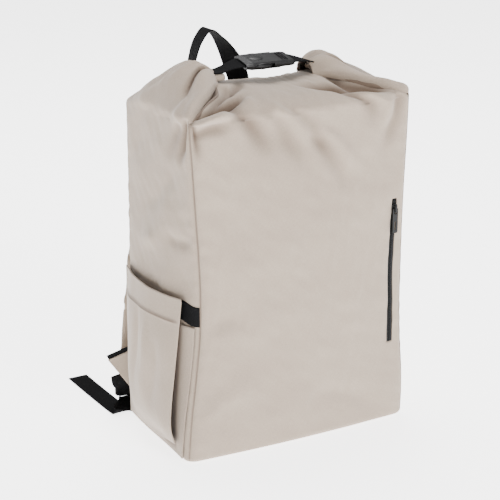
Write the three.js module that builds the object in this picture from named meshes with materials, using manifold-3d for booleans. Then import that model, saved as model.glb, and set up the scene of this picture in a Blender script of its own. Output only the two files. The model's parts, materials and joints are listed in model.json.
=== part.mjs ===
// A rolltop backpack, standing on its base, its mouth rolled shut and the roll's ends buckled together.
// Millimetres, +Z up. The front faces -Y and the side pocket is on the -X side.
// The origin is the middle of the base, on the surface that the bag stands on.
import * as THREE from "three";
import { mergeVertices } from "three/addons/utils/BufferGeometryUtils.js";
import Module from "manifold-3d";

const wasm = await Module();
wasm.setup();

// Bag
const BAG_WIDTH = 280;
const BAG_DEPTH = 160;
const SHOULDER_HEIGHT = 386;
const RIDGE_RISE = 23.5; // from the shoulder to the top of the rolled mouth
const RIDGE_LIFT = 5; // how much higher the cloth over the roll lies at the ears than in the middle
const EAR_RISE = 51; // from the shoulder to the crest of the two folded-in ends, the ears
const LEFT_EAR_TIP = 70; // from the middle to the tip of the left ear
const RIGHT_EAR_TIP = 55;
const CORNER_RADIUS = 10;
const BASE_RADIUS = 6;
const CLOTH = 1.5;
const SEAM_GAP = 0.4;
const FRONT_BULGE = 14;
const SIDE_BULGE = 7;
const BACK_BULGE = 4;
const SEAM_SWAY = 9; // how far the front seams wander sideways
const CORNER_DROP = 12; // how much lower the bag's back corners lie at the shoulder
const CORNER_LIFT = 5; // how much higher the front right corner lies there
const BASE_FORWARD = 4; // how far the front's lower edge stands forward
const TOP_FADE = 0.7; // share of the way over the top at which the bulges have died out
const EAR_BLEND = 0.3; // share of it at which a side panel has turned into its ear

// Rolled mouth
const ROLL_WIDTH = 30;
const ROLL_LAYER = 2.4;
const ROLL_PITCH = 2.9;
const ROLL_CENTRE_Y = 3;
const ROLL_TURN_RADIUS = 7.5;
const ROLL_TURN_AT = 86; // from the middle to where the roll bends back on itself
const ROLL_END_LEFT = 58; // from the middle to the left end of the roll
const ROLL_END_RIGHT = 61;

// Webbing and buckle
const WEBBING_WIDTH = 25;
const WEBBING = 1.6;
const FIT_GAP = 0.4;
const BUCKLE_LENGTH = 62;
const BUCKLE_WIDTH = 32;
const BUCKLE_THICKNESS = 8.5;
const BUCKLE_RISE = 44; // from the shoulder to the buckle's middle
const BUCKLE_TILT = 12; // degrees, its back edge up
const STRAP_SEWN = 15; // how far the closure strap reaches back over the roll's end
const STRAP_CLIMB = 9; // how far past the roll's end the strap has climbed half-way to the buckle
const SOCKET_SHARE = 0.7; // of the buckle's length
const BUCKLE_WALL = 1.6;
const BUCKLE_SIDE_WALL = 2.2;
const BUCKLE_GRIP = 8; // how deep the webbing goes into each half
const PRONG_WIDTH = 3.2;
const PRONG_LENGTH = 24;

// Grab handle
const HANDLE_SPAN = 60;
const HANDLE_RISE = 70; // above the shoulder
const HANDLE_CENTRE = -22;
const HANDLE_LEAN = 4; // how far its top stands behind its feet

// Zip on the front
const ZIP_LENGTH = 174;
const ZIP_BOTTOM = 98;
const ZIP_OFFSET = 122; // from the middle of the bag
const ZIP_WIDTH = 7;
const ZIP_WANDER = 2.5;
const PULLER_LENGTH = 30;
const PULLER_WIDTH = 7;
const PULLER_THICKNESS = 1.6;
const PULLER_SLOT = 2;
const PULLER_BAR = 0.8; // radius of the bar that turns under the slider's bridge
const SLIDER_LENGTH = 10;
const SLIDER_WIDTH = 7.4;
const SLIDER_THICKNESS = 2.2;
const BRIDGE_WIDTH = 2.2;
const BRIDGE_WALL = 1.1;

// Side pocket
const POCKET_HEIGHT = 190;
const POCKET_HEM = 27;
const POCKET_BULGE = 12;
const POCKET_CLOTH = 1.2;
const POCKET_FOLD = 62; // from the middle of the side to the fold at the pocket's front
const HEM_STANDS_OFF = 1;
const BAND_DROP = 5; // how much lower the band ends at the seam than at the hem

// Shoulder straps
const STRAP_WIDTH = 58;
const STRAP_THICKNESS = 9;
const STRAP_DROP = 34; // from the shoulder down to the top of the padded strap
const STRAP_END = 36; // height of the padded strap's lower end
const STRAP_LEAN = 26; // how far the strap stands off the back at its fullest
const TAB_HEIGHT = 60; // of the triangle of cloth at the bag's lower corner
const TAB_REACH = 32.5; // from its sewn edge to its point
const TAB_BOTTOM = 22;
const TAB_INSET = 7; // from the bag's side in to the sewn edge
const TAB_WAY = 150.6; // degrees from +X, the way that it points
const TAB_THICKNESS = 2;
const BINDING_WIDTH = 5;
const BINDING_THICKNESS = 3;
const LOCK_WIDTH = 32;
const LOCK_LENGTH = 22;
const LOCK_THICKNESS = 3;
const LOCK_SLOT = 4.4;
const LOCK_BAR = 3;
const TAIL_LENGTH = 128; // the free end of the webbing, on the floor
const TAIL_SWING = 21; // how far it swings away from the bag
const TAIL_FORWARD = 18; // how far it comes forward before it folds back
const TAIL_LAYER = 2.6; // rise of each layer where it is folded

const BUCKLE_HEIGHT = SHOULDER_HEIGHT + BUCKLE_RISE;
const STRAP_TOP = SHOULDER_HEIGHT - STRAP_DROP;
const HALF_WIDTH = BAG_WIDTH / 2;
const HALF_DEPTH = BAG_DEPTH / 2;
const RIGHT_ANGLE = Math.PI / 2;

const colours = {
  canvas: { color: 0xb5aba3, roughness: 0.9, metalness: 0 },
  webbing: { color: 0x17171a, roughness: 0.85, metalness: 0 },
  plastic: { color: 0x1c1d20, roughness: 0.42, metalness: 0 },
  zipper: { color: 0x131316, roughness: 0.6, metalness: 0 },
};

// Levels up the bag, evenly spaced from the floor to the shoulder.
// front, side and back are shares of the bulges; left and right are how far out the two front seams lie,
// as shares of SEAM_SWAY.
const BODY_LEVELS = [
  { front: 0.35, side: 0.6, back: 0.2, left: 0.85, right: 0.6 },
  { front: 0.55, side: 0.9, back: 0.6, left: 0.3, right: 0.7 },
  { front: 0.75, side: 1.0, back: 0.9, left: -0.45, right: 0.35 },
  { front: 0.93, side: 1.0, back: 1.0, left: -0.95, right: 0.1 },
  { front: 1.0, side: 0.8, back: 1.0, left: -1.0, right: 0.1 },
  { front: 0.95, side: 0.6, back: 0.9, left: -0.8, right: 0.15 },
  { front: 0.8, side: 0.5, back: 0.7, left: -0.5, right: 0.3 },
  { front: 0.6, side: 0.35, back: 0.4, left: -0.2, right: 0.55 },
  { front: 0.4, side: 0.25, back: 0.2, left: 0.0, right: 0.7 },
];

// Levels of the front panel from the shoulder up and back over the roll.
// rise is a share of RIDGE_RISE, depth of HALF_DEPTH, width of HALF_WIDTH; corner is a share of HALF_WIDTH.
const FRONT_TOP = [
  { rise: 0.0, depth: 1.0, width: 1.0, corner: 0.071 },
  { rise: 0.28, depth: 0.985, width: 0.975, corner: 0.12 },
  { rise: 0.53, depth: 0.93, width: 0.9, corner: 0.22 },
  { rise: 0.78, depth: 0.82, width: 0.81, corner: 0.3 },
  { rise: 0.92, depth: 0.64, width: 0.68, corner: 0.3 },
  { rise: 0.98, depth: 0.42, width: 0.6, corner: 0.21 },
  { rise: 1.0, depth: 0.2, width: 0.54, corner: 0.1 },
  { rise: 1.0, depth: -0.02, width: 0.52, corner: 0.03 },
  { rise: 0.985, depth: -0.15, width: 0.52, corner: 0.015 },
];

// Levels of the back panel from the shoulder up and forward under the roll.
const BACK_TOP = [
  { rise: 0.0, depth: 1.0, width: 1.0, corner: 0.071 },
  { rise: 0.25, depth: 0.98, width: 0.98, corner: 0.12 },
  { rise: 0.42, depth: 0.92, width: 0.93, corner: 0.2 },
  { rise: 0.52, depth: 0.8, width: 0.86, corner: 0.27 },
  { rise: 0.56, depth: 0.62, width: 0.78, corner: 0.28 },
  { rise: 0.55, depth: 0.42, width: 0.7, corner: 0.22 },
  { rise: 0.5, depth: 0.22, width: 0.64, corner: 0.14 },
  { rise: 0.48, depth: 0.02, width: 0.6, corner: 0.06 },
  { rise: 0.48, depth: -0.18, width: 0.58, corner: 0.03 },
];

// Levels of a side panel from the shoulder up and in to the tip of the ear.
// reach is the crest's place as a share of the way from the tip to the side; rise and drop are shares of
// EAR_RISE, the drop being how far the edges lie below the crest; spread is a share of HALF_DEPTH.
const EAR_LEVELS = [
  { reach: 1.0, rise: 0.0, spread: 1.0, drop: 0.0, back: 0.0 },
  { reach: 0.99, rise: 0.16, spread: 0.985, drop: 0.05, back: 0.01 },
  { reach: 0.91, rise: 0.33, spread: 0.95, drop: 0.13, back: 0.02 },
  { reach: 0.79, rise: 0.49, spread: 0.88, drop: 0.22, back: 0.03 },
  { reach: 0.65, rise: 0.67, spread: 0.78, drop: 0.34, back: 0.05 },
  { reach: 0.48, rise: 0.86, spread: 0.65, drop: 0.45, back: 0.06 },
  { reach: 0.29, rise: 0.98, spread: 0.5, drop: 0.48, back: 0.07 },
  { reach: 0.13, rise: 0.97, spread: 0.38, drop: 0.36, back: 0.07 },
  { reach: 0.0, rise: 0.89, spread: 0.29, drop: 0.14, back: 0.06 },
];

// The side pocket's path from the back seam to the front seam.
// along is a share of HALF_DEPTH, negative to the front; out is a share of POCKET_BULGE off the side.
const POCKET_PATH = [
  { along: 0.95, out: 0.0 },
  { along: 0.8, out: 0.35 },
  { along: 0.5, out: 0.8 },
  { along: 0.1, out: 1.0 },
  { along: -0.35, out: 1.0 },
  { along: -0.7, out: 0.85 },
  { along: -POCKET_FOLD / HALF_DEPTH - 0.015, out: 0.62 },
  { along: -0.72, out: 0.4 },
  { along: -0.64, out: 0.2 },
  { along: -0.72, out: 0.05 },
  { along: -0.93, out: 0.0 },
];

// How far the pocket stands off at each level, from its bottom to its hem.
const POCKET_LEVELS = [
  { fullness: 0.0 },
  { fullness: 0.85 },
  { fullness: 1.0 },
  { fullness: 0.9 },
  { fullness: 0.7 },
  { fullness: 0.53 },
  { fullness: 0.44 },
];

// The grab handle, from its right foot over the top to its left foot. x is a share of HANDLE_SPAN from its
// centre, lift a share of HANDLE_RISE above the shoulder, lean a share of HANDLE_LEAN, turn in degrees.
const HANDLE_PATH = [
  { x: 0.58, lift: -0.36, lean: 0, turn: 0 },
  { x: 0.57, lift: -0.04, lean: 0.03, turn: 0 },
  { x: 0.51, lift: 0.2, lean: 0.35, turn: -22 },
  { x: 0.3, lift: 0.6, lean: 0.7, turn: -60 },
  { x: 0.08, lift: 0.87, lean: 0.95, turn: -84 },
  { x: -0.12, lift: 1.0, lean: 1.0, turn: -92 },
  { x: -0.3, lift: 0.82, lean: 0.85, turn: -104 },
  { x: -0.42, lift: 0.52, lean: 0.55, turn: -128 },
  { x: -0.52, lift: 0.25, lean: 0.3, turn: -160 },
  { x: -0.5, lift: -0.04, lean: 0.03, turn: -180 },
  { x: -0.5, lift: -0.36, lean: 0, turn: -180 },
];

// A shoulder strap from its top seam down to its lower end. out is a share of HALF_WIDTH, lift a share of the
// way from STRAP_END to STRAP_TOP, lean a share of STRAP_LEAN, turn in degrees, width a share of STRAP_WIDTH.
const STRAP_PATH = [
  { out: 0.34, lift: 1.0, lean: 0.0, turn: 0, width: 1 },
  { out: 0.37, lift: 0.9, lean: 0.14, turn: 0, width: 1 },
  { out: 0.46, lift: 0.78, lean: 0.32, turn: 2, width: 1 },
  { out: 0.58, lift: 0.64, lean: 0.46, turn: 4, width: 1 },
  { out: 0.69, lift: 0.48, lean: 0.6, turn: 6, width: 1 },
  { out: 0.77, lift: 0.31, lean: 0.85, turn: 8, width: 0.95 },
  { out: 0.87, lift: 0.15, lean: 1.0, turn: 6, width: 0.72 },
  { out: 0.957, lift: 0.05, lean: 0.76, turn: 0, width: 0.5 },
  { out: 0.957, lift: 0.0, lean: 0.76, turn: 0, width: 0.48 },
];

// The free end of the webbing from below the adjuster to its tip. out is a share of TAIL_SWING, along a share
// of TAIL_LENGTH from where it folds, layers the number of layers that it lies on.
const TAIL_PATH = [
  { out: 0.2, along: 0.08, layers: 2.8 },
  { out: 0.71, along: 0, layers: 2 },
  { out: 0.76, along: -0.02, layers: 1 },
  { out: 0.81, along: 0, layers: 0 },
  { out: 0.86, along: 0.07, layers: 0 },
  { out: 0.95, along: 0.5, layers: 0 },
  { out: 1, along: 1, layers: 0 },
];

const smooth = (t) => {
  const s = Math.min(1, Math.max(0, t));
  return s * s * (3 - 2 * s);
};

// The value of a table's column at t, from 0 at the first row to 1 at the last, on a smooth curve.
function column(rows, name, t) {
  const place = Math.min(1, Math.max(0, t)) * (rows.length - 1);
  const i = Math.min(rows.length - 2, Math.floor(place));
  const f = place - i;
  const at = (k) => rows[Math.min(rows.length - 1, Math.max(0, k))][name];
  const [a, b, c, d] = [at(i - 1), at(i), at(i + 1), at(i + 2)];
  return b + 0.5 * f * (c - a + f * (2 * a - 5 * b + 4 * c - d + f * (3 * (b - c) + d - a)));
}

const range = (count, from, to) =>
  Array.from({ length: count }, (_, i) => from + ((to - from) * i) / (count - 1));

// Turns faces the right way out and returns an indexed geometry.
function closedGeometry(points, faces) {
  let volume = 0;
  for (const [a, b, c] of faces) volume += points[a].dot(points[b].clone().cross(points[c]));
  const index = volume < 0 ? faces.map(([a, b, c]) => [a, c, b]) : faces;
  const geometry = new THREE.BufferGeometry().setFromPoints(points);
  geometry.setIndex(index.flat());
  return geometry;
}

// A thin closed solid: surface(u, v) is its outer face, sampled at us and vs, and the wall goes inwards.
function sheet(surface, us, vs, wall, inward = 1) {
  const step = 1e-3;
  const points = [];
  for (const side of [0, 1])
    for (const v of vs)
      for (const u of us) {
        const outer = surface(u, v);
        const alongU = surface(u + step, v).sub(surface(u - step, v));
        const alongV = surface(u, v + step).sub(surface(u, v - step));
        const normal = alongU.cross(alongV).normalize();
        points.push(outer.addScaledVector(normal, -side * wall * inward));
      }
  const columns = us.length;
  const layer = columns * vs.length;
  const faces = [];
  const quad = (a, b, c, d) => faces.push([a, b, c], [a, c, d]);
  const rim = [];
  for (let i = 0; i < columns; i++) rim.push(i);
  for (let j = 1; j < vs.length; j++) rim.push(j * columns + columns - 1);
  for (let i = columns - 2; i >= 0; i--) rim.push((vs.length - 1) * columns + i);
  for (let j = vs.length - 2; j > 0; j--) rim.push(j * columns);
  rim.forEach((a, k) => {
    const b = rim[(k + 1) % rim.length];
    quad(a, layer + a, layer + b, b);
  });
  for (let j = 0; j + 1 < vs.length; j++)
    for (let i = 0; i + 1 < columns; i++) {
      const a = j * columns + i;
      quad(a, a + 1, a + columns + 1, a + columns);
      quad(layer + a, layer + a + columns, layer + a + columns + 1, layer + a + 1);
    }
  return closedGeometry(points, faces);
}

// A flat outline carried along frames {at, across, up}, closed at both ends.
function sweep(flat, frames) {
  const outline = THREE.ShapeUtils.isClockWise(flat) ? [...flat].reverse() : flat;
  const count = outline.length;
  const points = frames.flatMap(({ at, across, up }) =>
    outline.map((p) => at.clone().addScaledVector(across, p.x).addScaledVector(up, p.y)),
  );
  const faces = [];
  for (let j = 0; j + 1 < frames.length; j++)
    for (let i = 0; i < count; i++) {
      const a = j * count + i;
      const b = j * count + ((i + 1) % count);
      // Opposite faces share the way of their diagonals, so that a twisted ribbon keeps its thickness.
      if (i < count / 2) faces.push([a, b, b + count], [a, b + count, a + count]);
      else faces.push([a, b, a + count], [b, b + count, a + count]);
    }
  const last = (frames.length - 1) * count;
  for (const [a, b, c] of THREE.ShapeUtils.triangulateShape(outline, []))
    faces.push([a, c, b], [last + a, last + b, last + c]);
  return closedGeometry(points, faces);
}

const rectangle = (width, height) =>
  [
    [-0.5, -0.5],
    [0.5, -0.5],
    [0.5, 0.5],
    [-0.5, 0.5],
  ].map(([x, y]) => new THREE.Vector2(x * width, y * height));

// A rectangle with rounded corners, for pads and moulded pieces.
function roundedOutline(width, height, radius, steps = 3) {
  const points = [];
  [
    [1, 1, 0],
    [-1, 1, 1],
    [-1, -1, 2],
    [1, -1, 3],
  ].forEach(([sx, sy, quarter]) => {
    for (let k = 0; k <= steps; k++) {
      const angle = (quarter + k / steps) * RIGHT_ANGLE;
      points.push(
        new THREE.Vector2(
          sx * (width / 2 - radius) + radius * Math.cos(angle),
          sy * (height / 2 - radius) + radius * Math.sin(angle),
        ),
      );
    }
  });
  return points;
}

// Frames along a smooth curve through rows of {at, across}, where across is the way that the width points.
function ribbonFrames(rows, steps) {
  const curve = new THREE.CatmullRomCurve3(
    rows.map((row) => row.at),
    false,
    "centripetal",
  );
  return range(steps, 0, 1).map((t) => {
    const along = curve.getTangent(t);
    const place = t * (rows.length - 1);
    const i = Math.min(rows.length - 2, Math.floor(place));
    const across = rows[i].across.clone().lerp(rows[i + 1].across, place - i);
    across.addScaledVector(along, -across.dot(along)).normalize();
    return { at: curve.getPoint(t), across, up: along.clone().cross(across) };
  });
}

// A level direction, turned about +Z from +X.
function levelWay(degrees) {
  const turn = THREE.MathUtils.degToRad(degrees);
  return point(Math.cos(turn), Math.sin(turn), 0);
}

const point = (x, y, z) => new THREE.Vector3(x, y, z);

// Booleans
function solidOf(geometry) {
  const bare = geometry.index ? geometry.toNonIndexed() : geometry.clone();
  bare.deleteAttribute("normal");
  bare.deleteAttribute("uv");
  const merged = mergeVertices(bare, 1e-4);
  return new wasm.Manifold(
    new wasm.Mesh({
      numProp: 3,
      vertProperties: merged.attributes.position.array,
      triVerts: new Uint32Array(merged.index.array),
    }),
  );
}

function geometryOf(solid) {
  const mesh = solid.getMesh();
  const points = [];
  for (let i = 0; i < mesh.vertProperties.length; i += mesh.numProp)
    points.push(point(...mesh.vertProperties.slice(i, i + 3)));
  return new THREE.BufferGeometry().setFromPoints(points).setIndex([...mesh.triVerts]);
}

const cut = (body, ...tools) =>
  geometryOf(tools.reduce((left, tool) => left.subtract(solidOf(tool)), solidOf(body)));
const join = (body, ...others) =>
  geometryOf(others.reduce((all, other) => all.add(solidOf(other)), solidOf(body)));

// A box from its lowest to its highest corner.
function block(x0, x1, y0, y1, z0, z1) {
  return new THREE.BoxGeometry(x1 - x0, y1 - y0, z1 - z0).translate(
    (x0 + x1) / 2,
    (y0 + y1) / 2,
    (z0 + z1) / 2,
  );
}

// The level at v: 0 to 1 is the base's rounding, 1 to 2 the body up to the shoulder, 2 to 3 the top.
function levelAt(v, topRows) {
  const arc = Math.min(1, Math.max(0, v)) * RIGHT_ANGLE;
  const inset = v < 1 ? BASE_RADIUS * (1 - Math.sin(arc)) : 0;
  const body = Math.min(1, Math.max(0, v - 1));
  const baseZ = BASE_RADIUS * (1 - Math.cos(arc));
  const z = v < 1 ? baseZ : BASE_RADIUS + (SHOULDER_HEIGHT - BASE_RADIUS) * body;
  const height = z / SHOULDER_HEIGHT;
  const level = {
    z,
    halfWidth: HALF_WIDTH - inset,
    halfDepth: HALF_DEPTH - inset,
    corner: CORNER_RADIUS,
    front: FRONT_BULGE * column(BODY_LEVELS, "front", height),
    side: SIDE_BULGE * column(BODY_LEVELS, "side", height),
    back: BACK_BULGE * column(BODY_LEVELS, "back", height),
    left: SEAM_SWAY * column(BODY_LEVELS, "left", height),
    right: SEAM_SWAY * column(BODY_LEVELS, "right", height),
    drop: CORNER_DROP * smooth(2 * height - 1),
    lift: CORNER_LIFT * smooth(2 * height - 1),
    forward: BASE_FORWARD * (1 - smooth(3 * height)),
  };
  if (v > 2 && topRows) {
    const t = v - 2;
    const fading = 1 - smooth(t / TOP_FADE);
    level.z = SHOULDER_HEIGHT + RIDGE_RISE * column(topRows, "rise", t);
    level.halfWidth = HALF_WIDTH * column(topRows, "width", t);
    level.halfDepth = HALF_DEPTH * column(topRows, "depth", t);
    level.corner = HALF_WIDTH * column(topRows, "corner", t);
    for (const name of ["front", "side", "back", "right", "drop", "lift"]) level[name] *= fading;
    level.left *= 1 - smooth(t / EAR_BLEND);
  }
  return level;
}

// The v of a height on the straight part of the body.
const levelFor = (z) =>
  Math.min(2, Math.max(1, 1 + (z - BASE_RADIUS) / (SHOULDER_HEIGHT - BASE_RADIUS)));

// Stuffed cloth stands out in the middle of each panel, and the front seams sway.
function stuffed(x, y, level) {
  const fx = x / level.halfWidth;
  const fy = y / Math.max(1, level.halfDepth);
  const forward = Math.max(0, -fy);
  const rearward = Math.max(0, fy);
  const middle = Math.max(0, 1 - fx * fx);
  const atTheFront = Math.min(1, forward) ** 2;
  const atTheBack = Math.min(1, rearward) ** 2;
  return point(
    x +
      Math.sign(x) * level.side * Math.max(0, 1 - fy * fy) * fx * fx +
      (level.right * Math.max(0, fx) ** 3 - level.left * Math.max(0, -fx) ** 3) * atTheFront,
    y - (level.forward + level.front * middle) * atTheFront + level.back * middle * atTheBack,
    level.z - level.drop * fx * fx * atTheBack + level.lift * Math.max(0, fx) ** 2 * atTheFront,
  );
}

// A point of one side of a rounded rectangle: u runs from -1 to 1 between the middles of its two corners.
function roundedSide(u, half, depth, radius) {
  const flat = 1 - Math.min(0.5, radius / half);
  const s = Math.min(Math.abs(u), 1.2);
  if (s <= flat) return [(u / flat) * (half - radius), depth];
  const angle = ((s - flat) / (1 - flat)) * (RIGHT_ANGLE / 2);
  return [
    Math.sign(u) * (half - radius + radius * Math.sin(angle)),
    depth - radius * (1 - Math.cos(angle)),
  ];
}

function frontPoint(u, v) {
  const level = levelAt(v, FRONT_TOP);
  const [x, y] = roundedSide(u, level.halfWidth, level.halfDepth, level.corner);
  const onTheRoll = smooth((v - 2.55) / 0.3);
  level.z += RIDGE_LIFT * onTheRoll * smooth(Math.abs(x) / LEFT_EAR_TIP - 0.25);
  return stuffed(x, -y, level);
}

function backPoint(u, v) {
  const level = levelAt(v, BACK_TOP);
  const [x, y] = roundedSide(-u, level.halfWidth, level.halfDepth, level.corner);
  return stuffed(x, y, level);
}

// A side panel: u from the back seam to the front seam. Above the shoulder it folds in as an ear.
// side is -1 on the left and 1 on the right.
const sidePoint = (side, tip) => (u, v) => {
  const level = levelAt(v, null);
  const [y, x] = roundedSide(-u, level.halfDepth, level.halfWidth, level.corner);
  const wall = stuffed(side * x, y, level);
  if (v <= 2) return wall;
  const t = v - 2;
  const crest = tip + (HALF_WIDTH - tip) * column(EAR_LEVELS, "reach", t);
  const drop = EAR_RISE * column(EAR_LEVELS, "drop", t);
  const rise = EAR_RISE * column(EAR_LEVELS, "rise", t);
  const spread = HALF_DEPTH * column(EAR_LEVELS, "spread", t);
  const back = HALF_DEPTH * column(EAR_LEVELS, "back", t);
  const raised = (1 - smooth(t / TOP_FADE)) * (wall.z - SHOULDER_HEIGHT);
  const ear = point(
    side * (crest + level.side * (1 - t) * (1 - u * u)),
    back - spread * u,
    SHOULDER_HEIGHT + rise + raised - drop * Math.abs(u) ** 2.2,
  );
  wall.z = SHOULDER_HEIGHT + rise + raised;
  return wall.lerp(ear, smooth(t / EAR_BLEND));
};

const leftSide = sidePoint(-1, LEFT_EAR_TIP);
const rightSide = sidePoint(1, RIGHT_EAR_TIP);

const BASE_LEVELS = [0, 0.3, 0.6, 1];
const BODY_STEPS = range(13, 1, 2).slice(1);
const TOP_STEPS = range(13, 2, 3).slice(1);
const UP_THE_BAG = [...BASE_LEVELS, ...BODY_STEPS, ...TOP_STEPS];

// Places across a panel, close together at its corners and held off the seam by half the seam gap.
function acrossPanel(half, flatSteps) {
  const edge = 1 - SEAM_GAP / 2 / half;
  const flat = 1 - CORNER_RADIUS / half;
  const corner = flat + (edge - flat) / 2;
  return [-edge, -corner, ...range(flatSteps, -flat, flat), corner, edge];
}

function frontPanel() {
  const panel = sheet(frontPoint, acrossPanel(HALF_WIDTH, 11), UP_THE_BAG, CLOTH);
  const hole = sweep(rectangle(ZIP_WIDTH + 2 * FIT_GAP, 8 * CLOTH), zipFrames(0, FIT_GAP));
  return cut(panel, hole);
}

const backPanel = () => sheet(backPoint, acrossPanel(HALF_WIDTH, 9), UP_THE_BAG, CLOTH);
const leftPanel = () => sheet(leftSide, acrossPanel(HALF_DEPTH, 10), UP_THE_BAG, CLOTH);
const rightPanel = () => sheet(rightSide, acrossPanel(HALF_DEPTH, 9), UP_THE_BAG, CLOTH, -1);

// The flat base, inside the lower edges of the four panels.
function basePanel() {
  const shrinkX = 1 - SEAM_GAP / (HALF_WIDTH - BASE_RADIUS);
  const shrinkY = 1 - SEAM_GAP / (HALF_DEPTH - BASE_RADIUS);
  const edge = (surface, us) =>
    us.map((u) => {
      const p = surface(u, 0);
      return new THREE.Vector2(p.x * shrinkX, p.y * shrinkY);
    });
  const wide = acrossPanel(HALF_WIDTH, 9);
  const deep = acrossPanel(HALF_DEPTH, 9);
  const outline = [
    ...edge(frontPoint, wide),
    ...edge(rightSide, [...deep].reverse()),
    ...edge(backPoint, wide),
    ...edge(leftSide, deep),
  ];
  const frames = [0, CLOTH].map((z) => ({
    at: point(0, 0, z),
    across: point(1, 0, 0),
    up: point(0, 1, 0),
  }));
  return sweep(outline, frames);
}

// The mouth, rolled flat: a strip of cloth wound in a flat spiral, bent back on itself at both ends.
function mouthRoll() {
  const half = (ROLL_WIDTH - ROLL_PITCH * 3) / 2;
  const centre = [
    [-half * 0.7, 0],
    [half, 0],
  ];
  const turn = (x, fromY, toY, side) => {
    for (const angle of range(4, -RIGHT_ANGLE, RIGHT_ANGLE).slice(1, -1)) {
      const middle = (fromY + toY) / 2;
      const radius = (toY - fromY) / 2;
      centre.push([x + side * Math.abs(radius) * Math.cos(angle), middle + radius * Math.sin(angle)]);
    }
  };
  turn(half, 0, ROLL_PITCH, 1);
  centre.push([half, ROLL_PITCH], [-half, ROLL_PITCH]);
  turn(-half, ROLL_PITCH, -ROLL_PITCH, -1);
  centre.push([-half, -ROLL_PITCH], [half, -ROLL_PITCH]);
  const line = centre.map(([x, y]) => new THREE.Vector2(x, y));
  const edges = [1, -1].map((side) =>
    line.map((p, i) => {
      const before = line[Math.max(0, i - 1)];
      const after = line[Math.min(line.length - 1, i + 1)];
      const along = after.clone().sub(before).normalize();
      return new THREE.Vector2(
        p.x - (side * along.y * ROLL_LAYER) / 2,
        p.y + (side * along.x * ROLL_LAYER) / 2,
      );
    }),
  );
  const outline = [...edges[0], ...edges[1].reverse()];
  return sweep(outline, rollFrames());
}

const ROLL_THICKNESS = 2 * ROLL_PITCH + ROLL_LAYER;
const ROLL_LOW = SHOULDER_HEIGHT + RIDGE_RISE - CLOTH - FIT_GAP - ROLL_THICKNESS / 2;
const ROLL_HIGH = ROLL_LOW + 2 * ROLL_TURN_RADIUS;

// Frames from the left end, out along the upper run, round the bend and across the bag to the right end.
function rollFrames() {
  const half = (side, end) => {
    const rows = [end, ROLL_TURN_AT].map((x) => ({ x, z: ROLL_HIGH, angle: Math.PI }));
    for (const angle of range(6, 0, Math.PI).slice(1))
      rows.push({
        x: ROLL_TURN_AT + ROLL_TURN_RADIUS * Math.sin(angle),
        z: ROLL_LOW + ROLL_TURN_RADIUS * (1 + Math.cos(angle)),
        angle: Math.PI - angle,
      });
    rows.push({ x: ROLL_TURN_AT / 2, z: ROLL_LOW, angle: 0 });
    return rows.map(({ x, z, angle }) => ({
      at: point(side * x, ROLL_CENTRE_Y, z),
      across: point(0, 1, 0),
      up: point(-side * Math.sin(angle), 0, Math.cos(angle)),
    }));
  };
  return [...half(-1, ROLL_END_LEFT), ...half(1, ROLL_END_RIGHT).reverse()];
}

// The zip's middle line on the front panel, running upwards; past lengthens it at both ends.
function zipFrames(sink, past = 0) {
  const steps = 15;
  return range(steps, 0, 1).map((t) => {
    const z = ZIP_BOTTOM - past + (ZIP_LENGTH + 2 * past) * t;
    const x = ZIP_OFFSET - ZIP_WANDER * Math.sin(Math.PI * t) ** 2;
    return { at: point(x, frontSurface(x, z) + sink, z), across: point(1, 0, 0), up: point(0, 1, 0) };
  });
}

// The front panel's y at a place on its flat part.
function frontSurface(x, z) {
  const level = levelAt(levelFor(z), FRONT_TOP);
  return stuffed(x, -level.halfDepth, level).y;
}

const zipTape = () => sweep(rectangle(ZIP_WIDTH, CLOTH), zipFrames(CLOTH / 2));

const SLIDER_Z = ZIP_BOTTOM + ZIP_LENGTH - SLIDER_LENGTH;
const BRIDGE_CLEAR = 2 * PULLER_BAR + 2 * FIT_GAP;
const SLIDER_FACE = frontSurface(ZIP_OFFSET, SLIDER_Z) - FIT_GAP;
const SLIDER_FRONT = SLIDER_FACE - SLIDER_THICKNESS;
const PIVOT_Y = SLIDER_FRONT - BRIDGE_CLEAR / 2;

// An upright plate with rounded corners, its middle at x and z, from its back at y0 forward to y1.
function plate(width, height, radius, x, y0, y1, z) {
  const frames = [y0, y1].map((y) => ({
    at: point(x, y, z),
    across: point(1, 0, 0),
    up: point(0, 0, 1),
  }));
  return sweep(roundedOutline(width, height, radius), frames);
}

// The slider's plate with its bridge, which the puller's bar turns under.
function zipSlider() {
  const body = plate(SLIDER_WIDTH, SLIDER_LENGTH, 2, ZIP_OFFSET, SLIDER_FACE, SLIDER_FRONT, SLIDER_Z);
  const outside = SLIDER_LENGTH / 2 - BRIDGE_WALL;
  const inside = outside - BRIDGE_WALL;
  const x0 = ZIP_OFFSET - BRIDGE_WIDTH / 2;
  const x1 = ZIP_OFFSET + BRIDGE_WIDTH / 2;
  const y0 = SLIDER_FRONT - BRIDGE_CLEAR;
  const bridge = block(x0, x1, y0 - BRIDGE_WALL, SLIDER_FACE - 1, SLIDER_Z - outside, SLIDER_Z + outside);
  const under = block(x0 - 1, x1 + 1, y0, SLIDER_FRONT, SLIDER_Z - inside, SLIDER_Z + inside);
  return join(body, cut(bridge, under));
}

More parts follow.
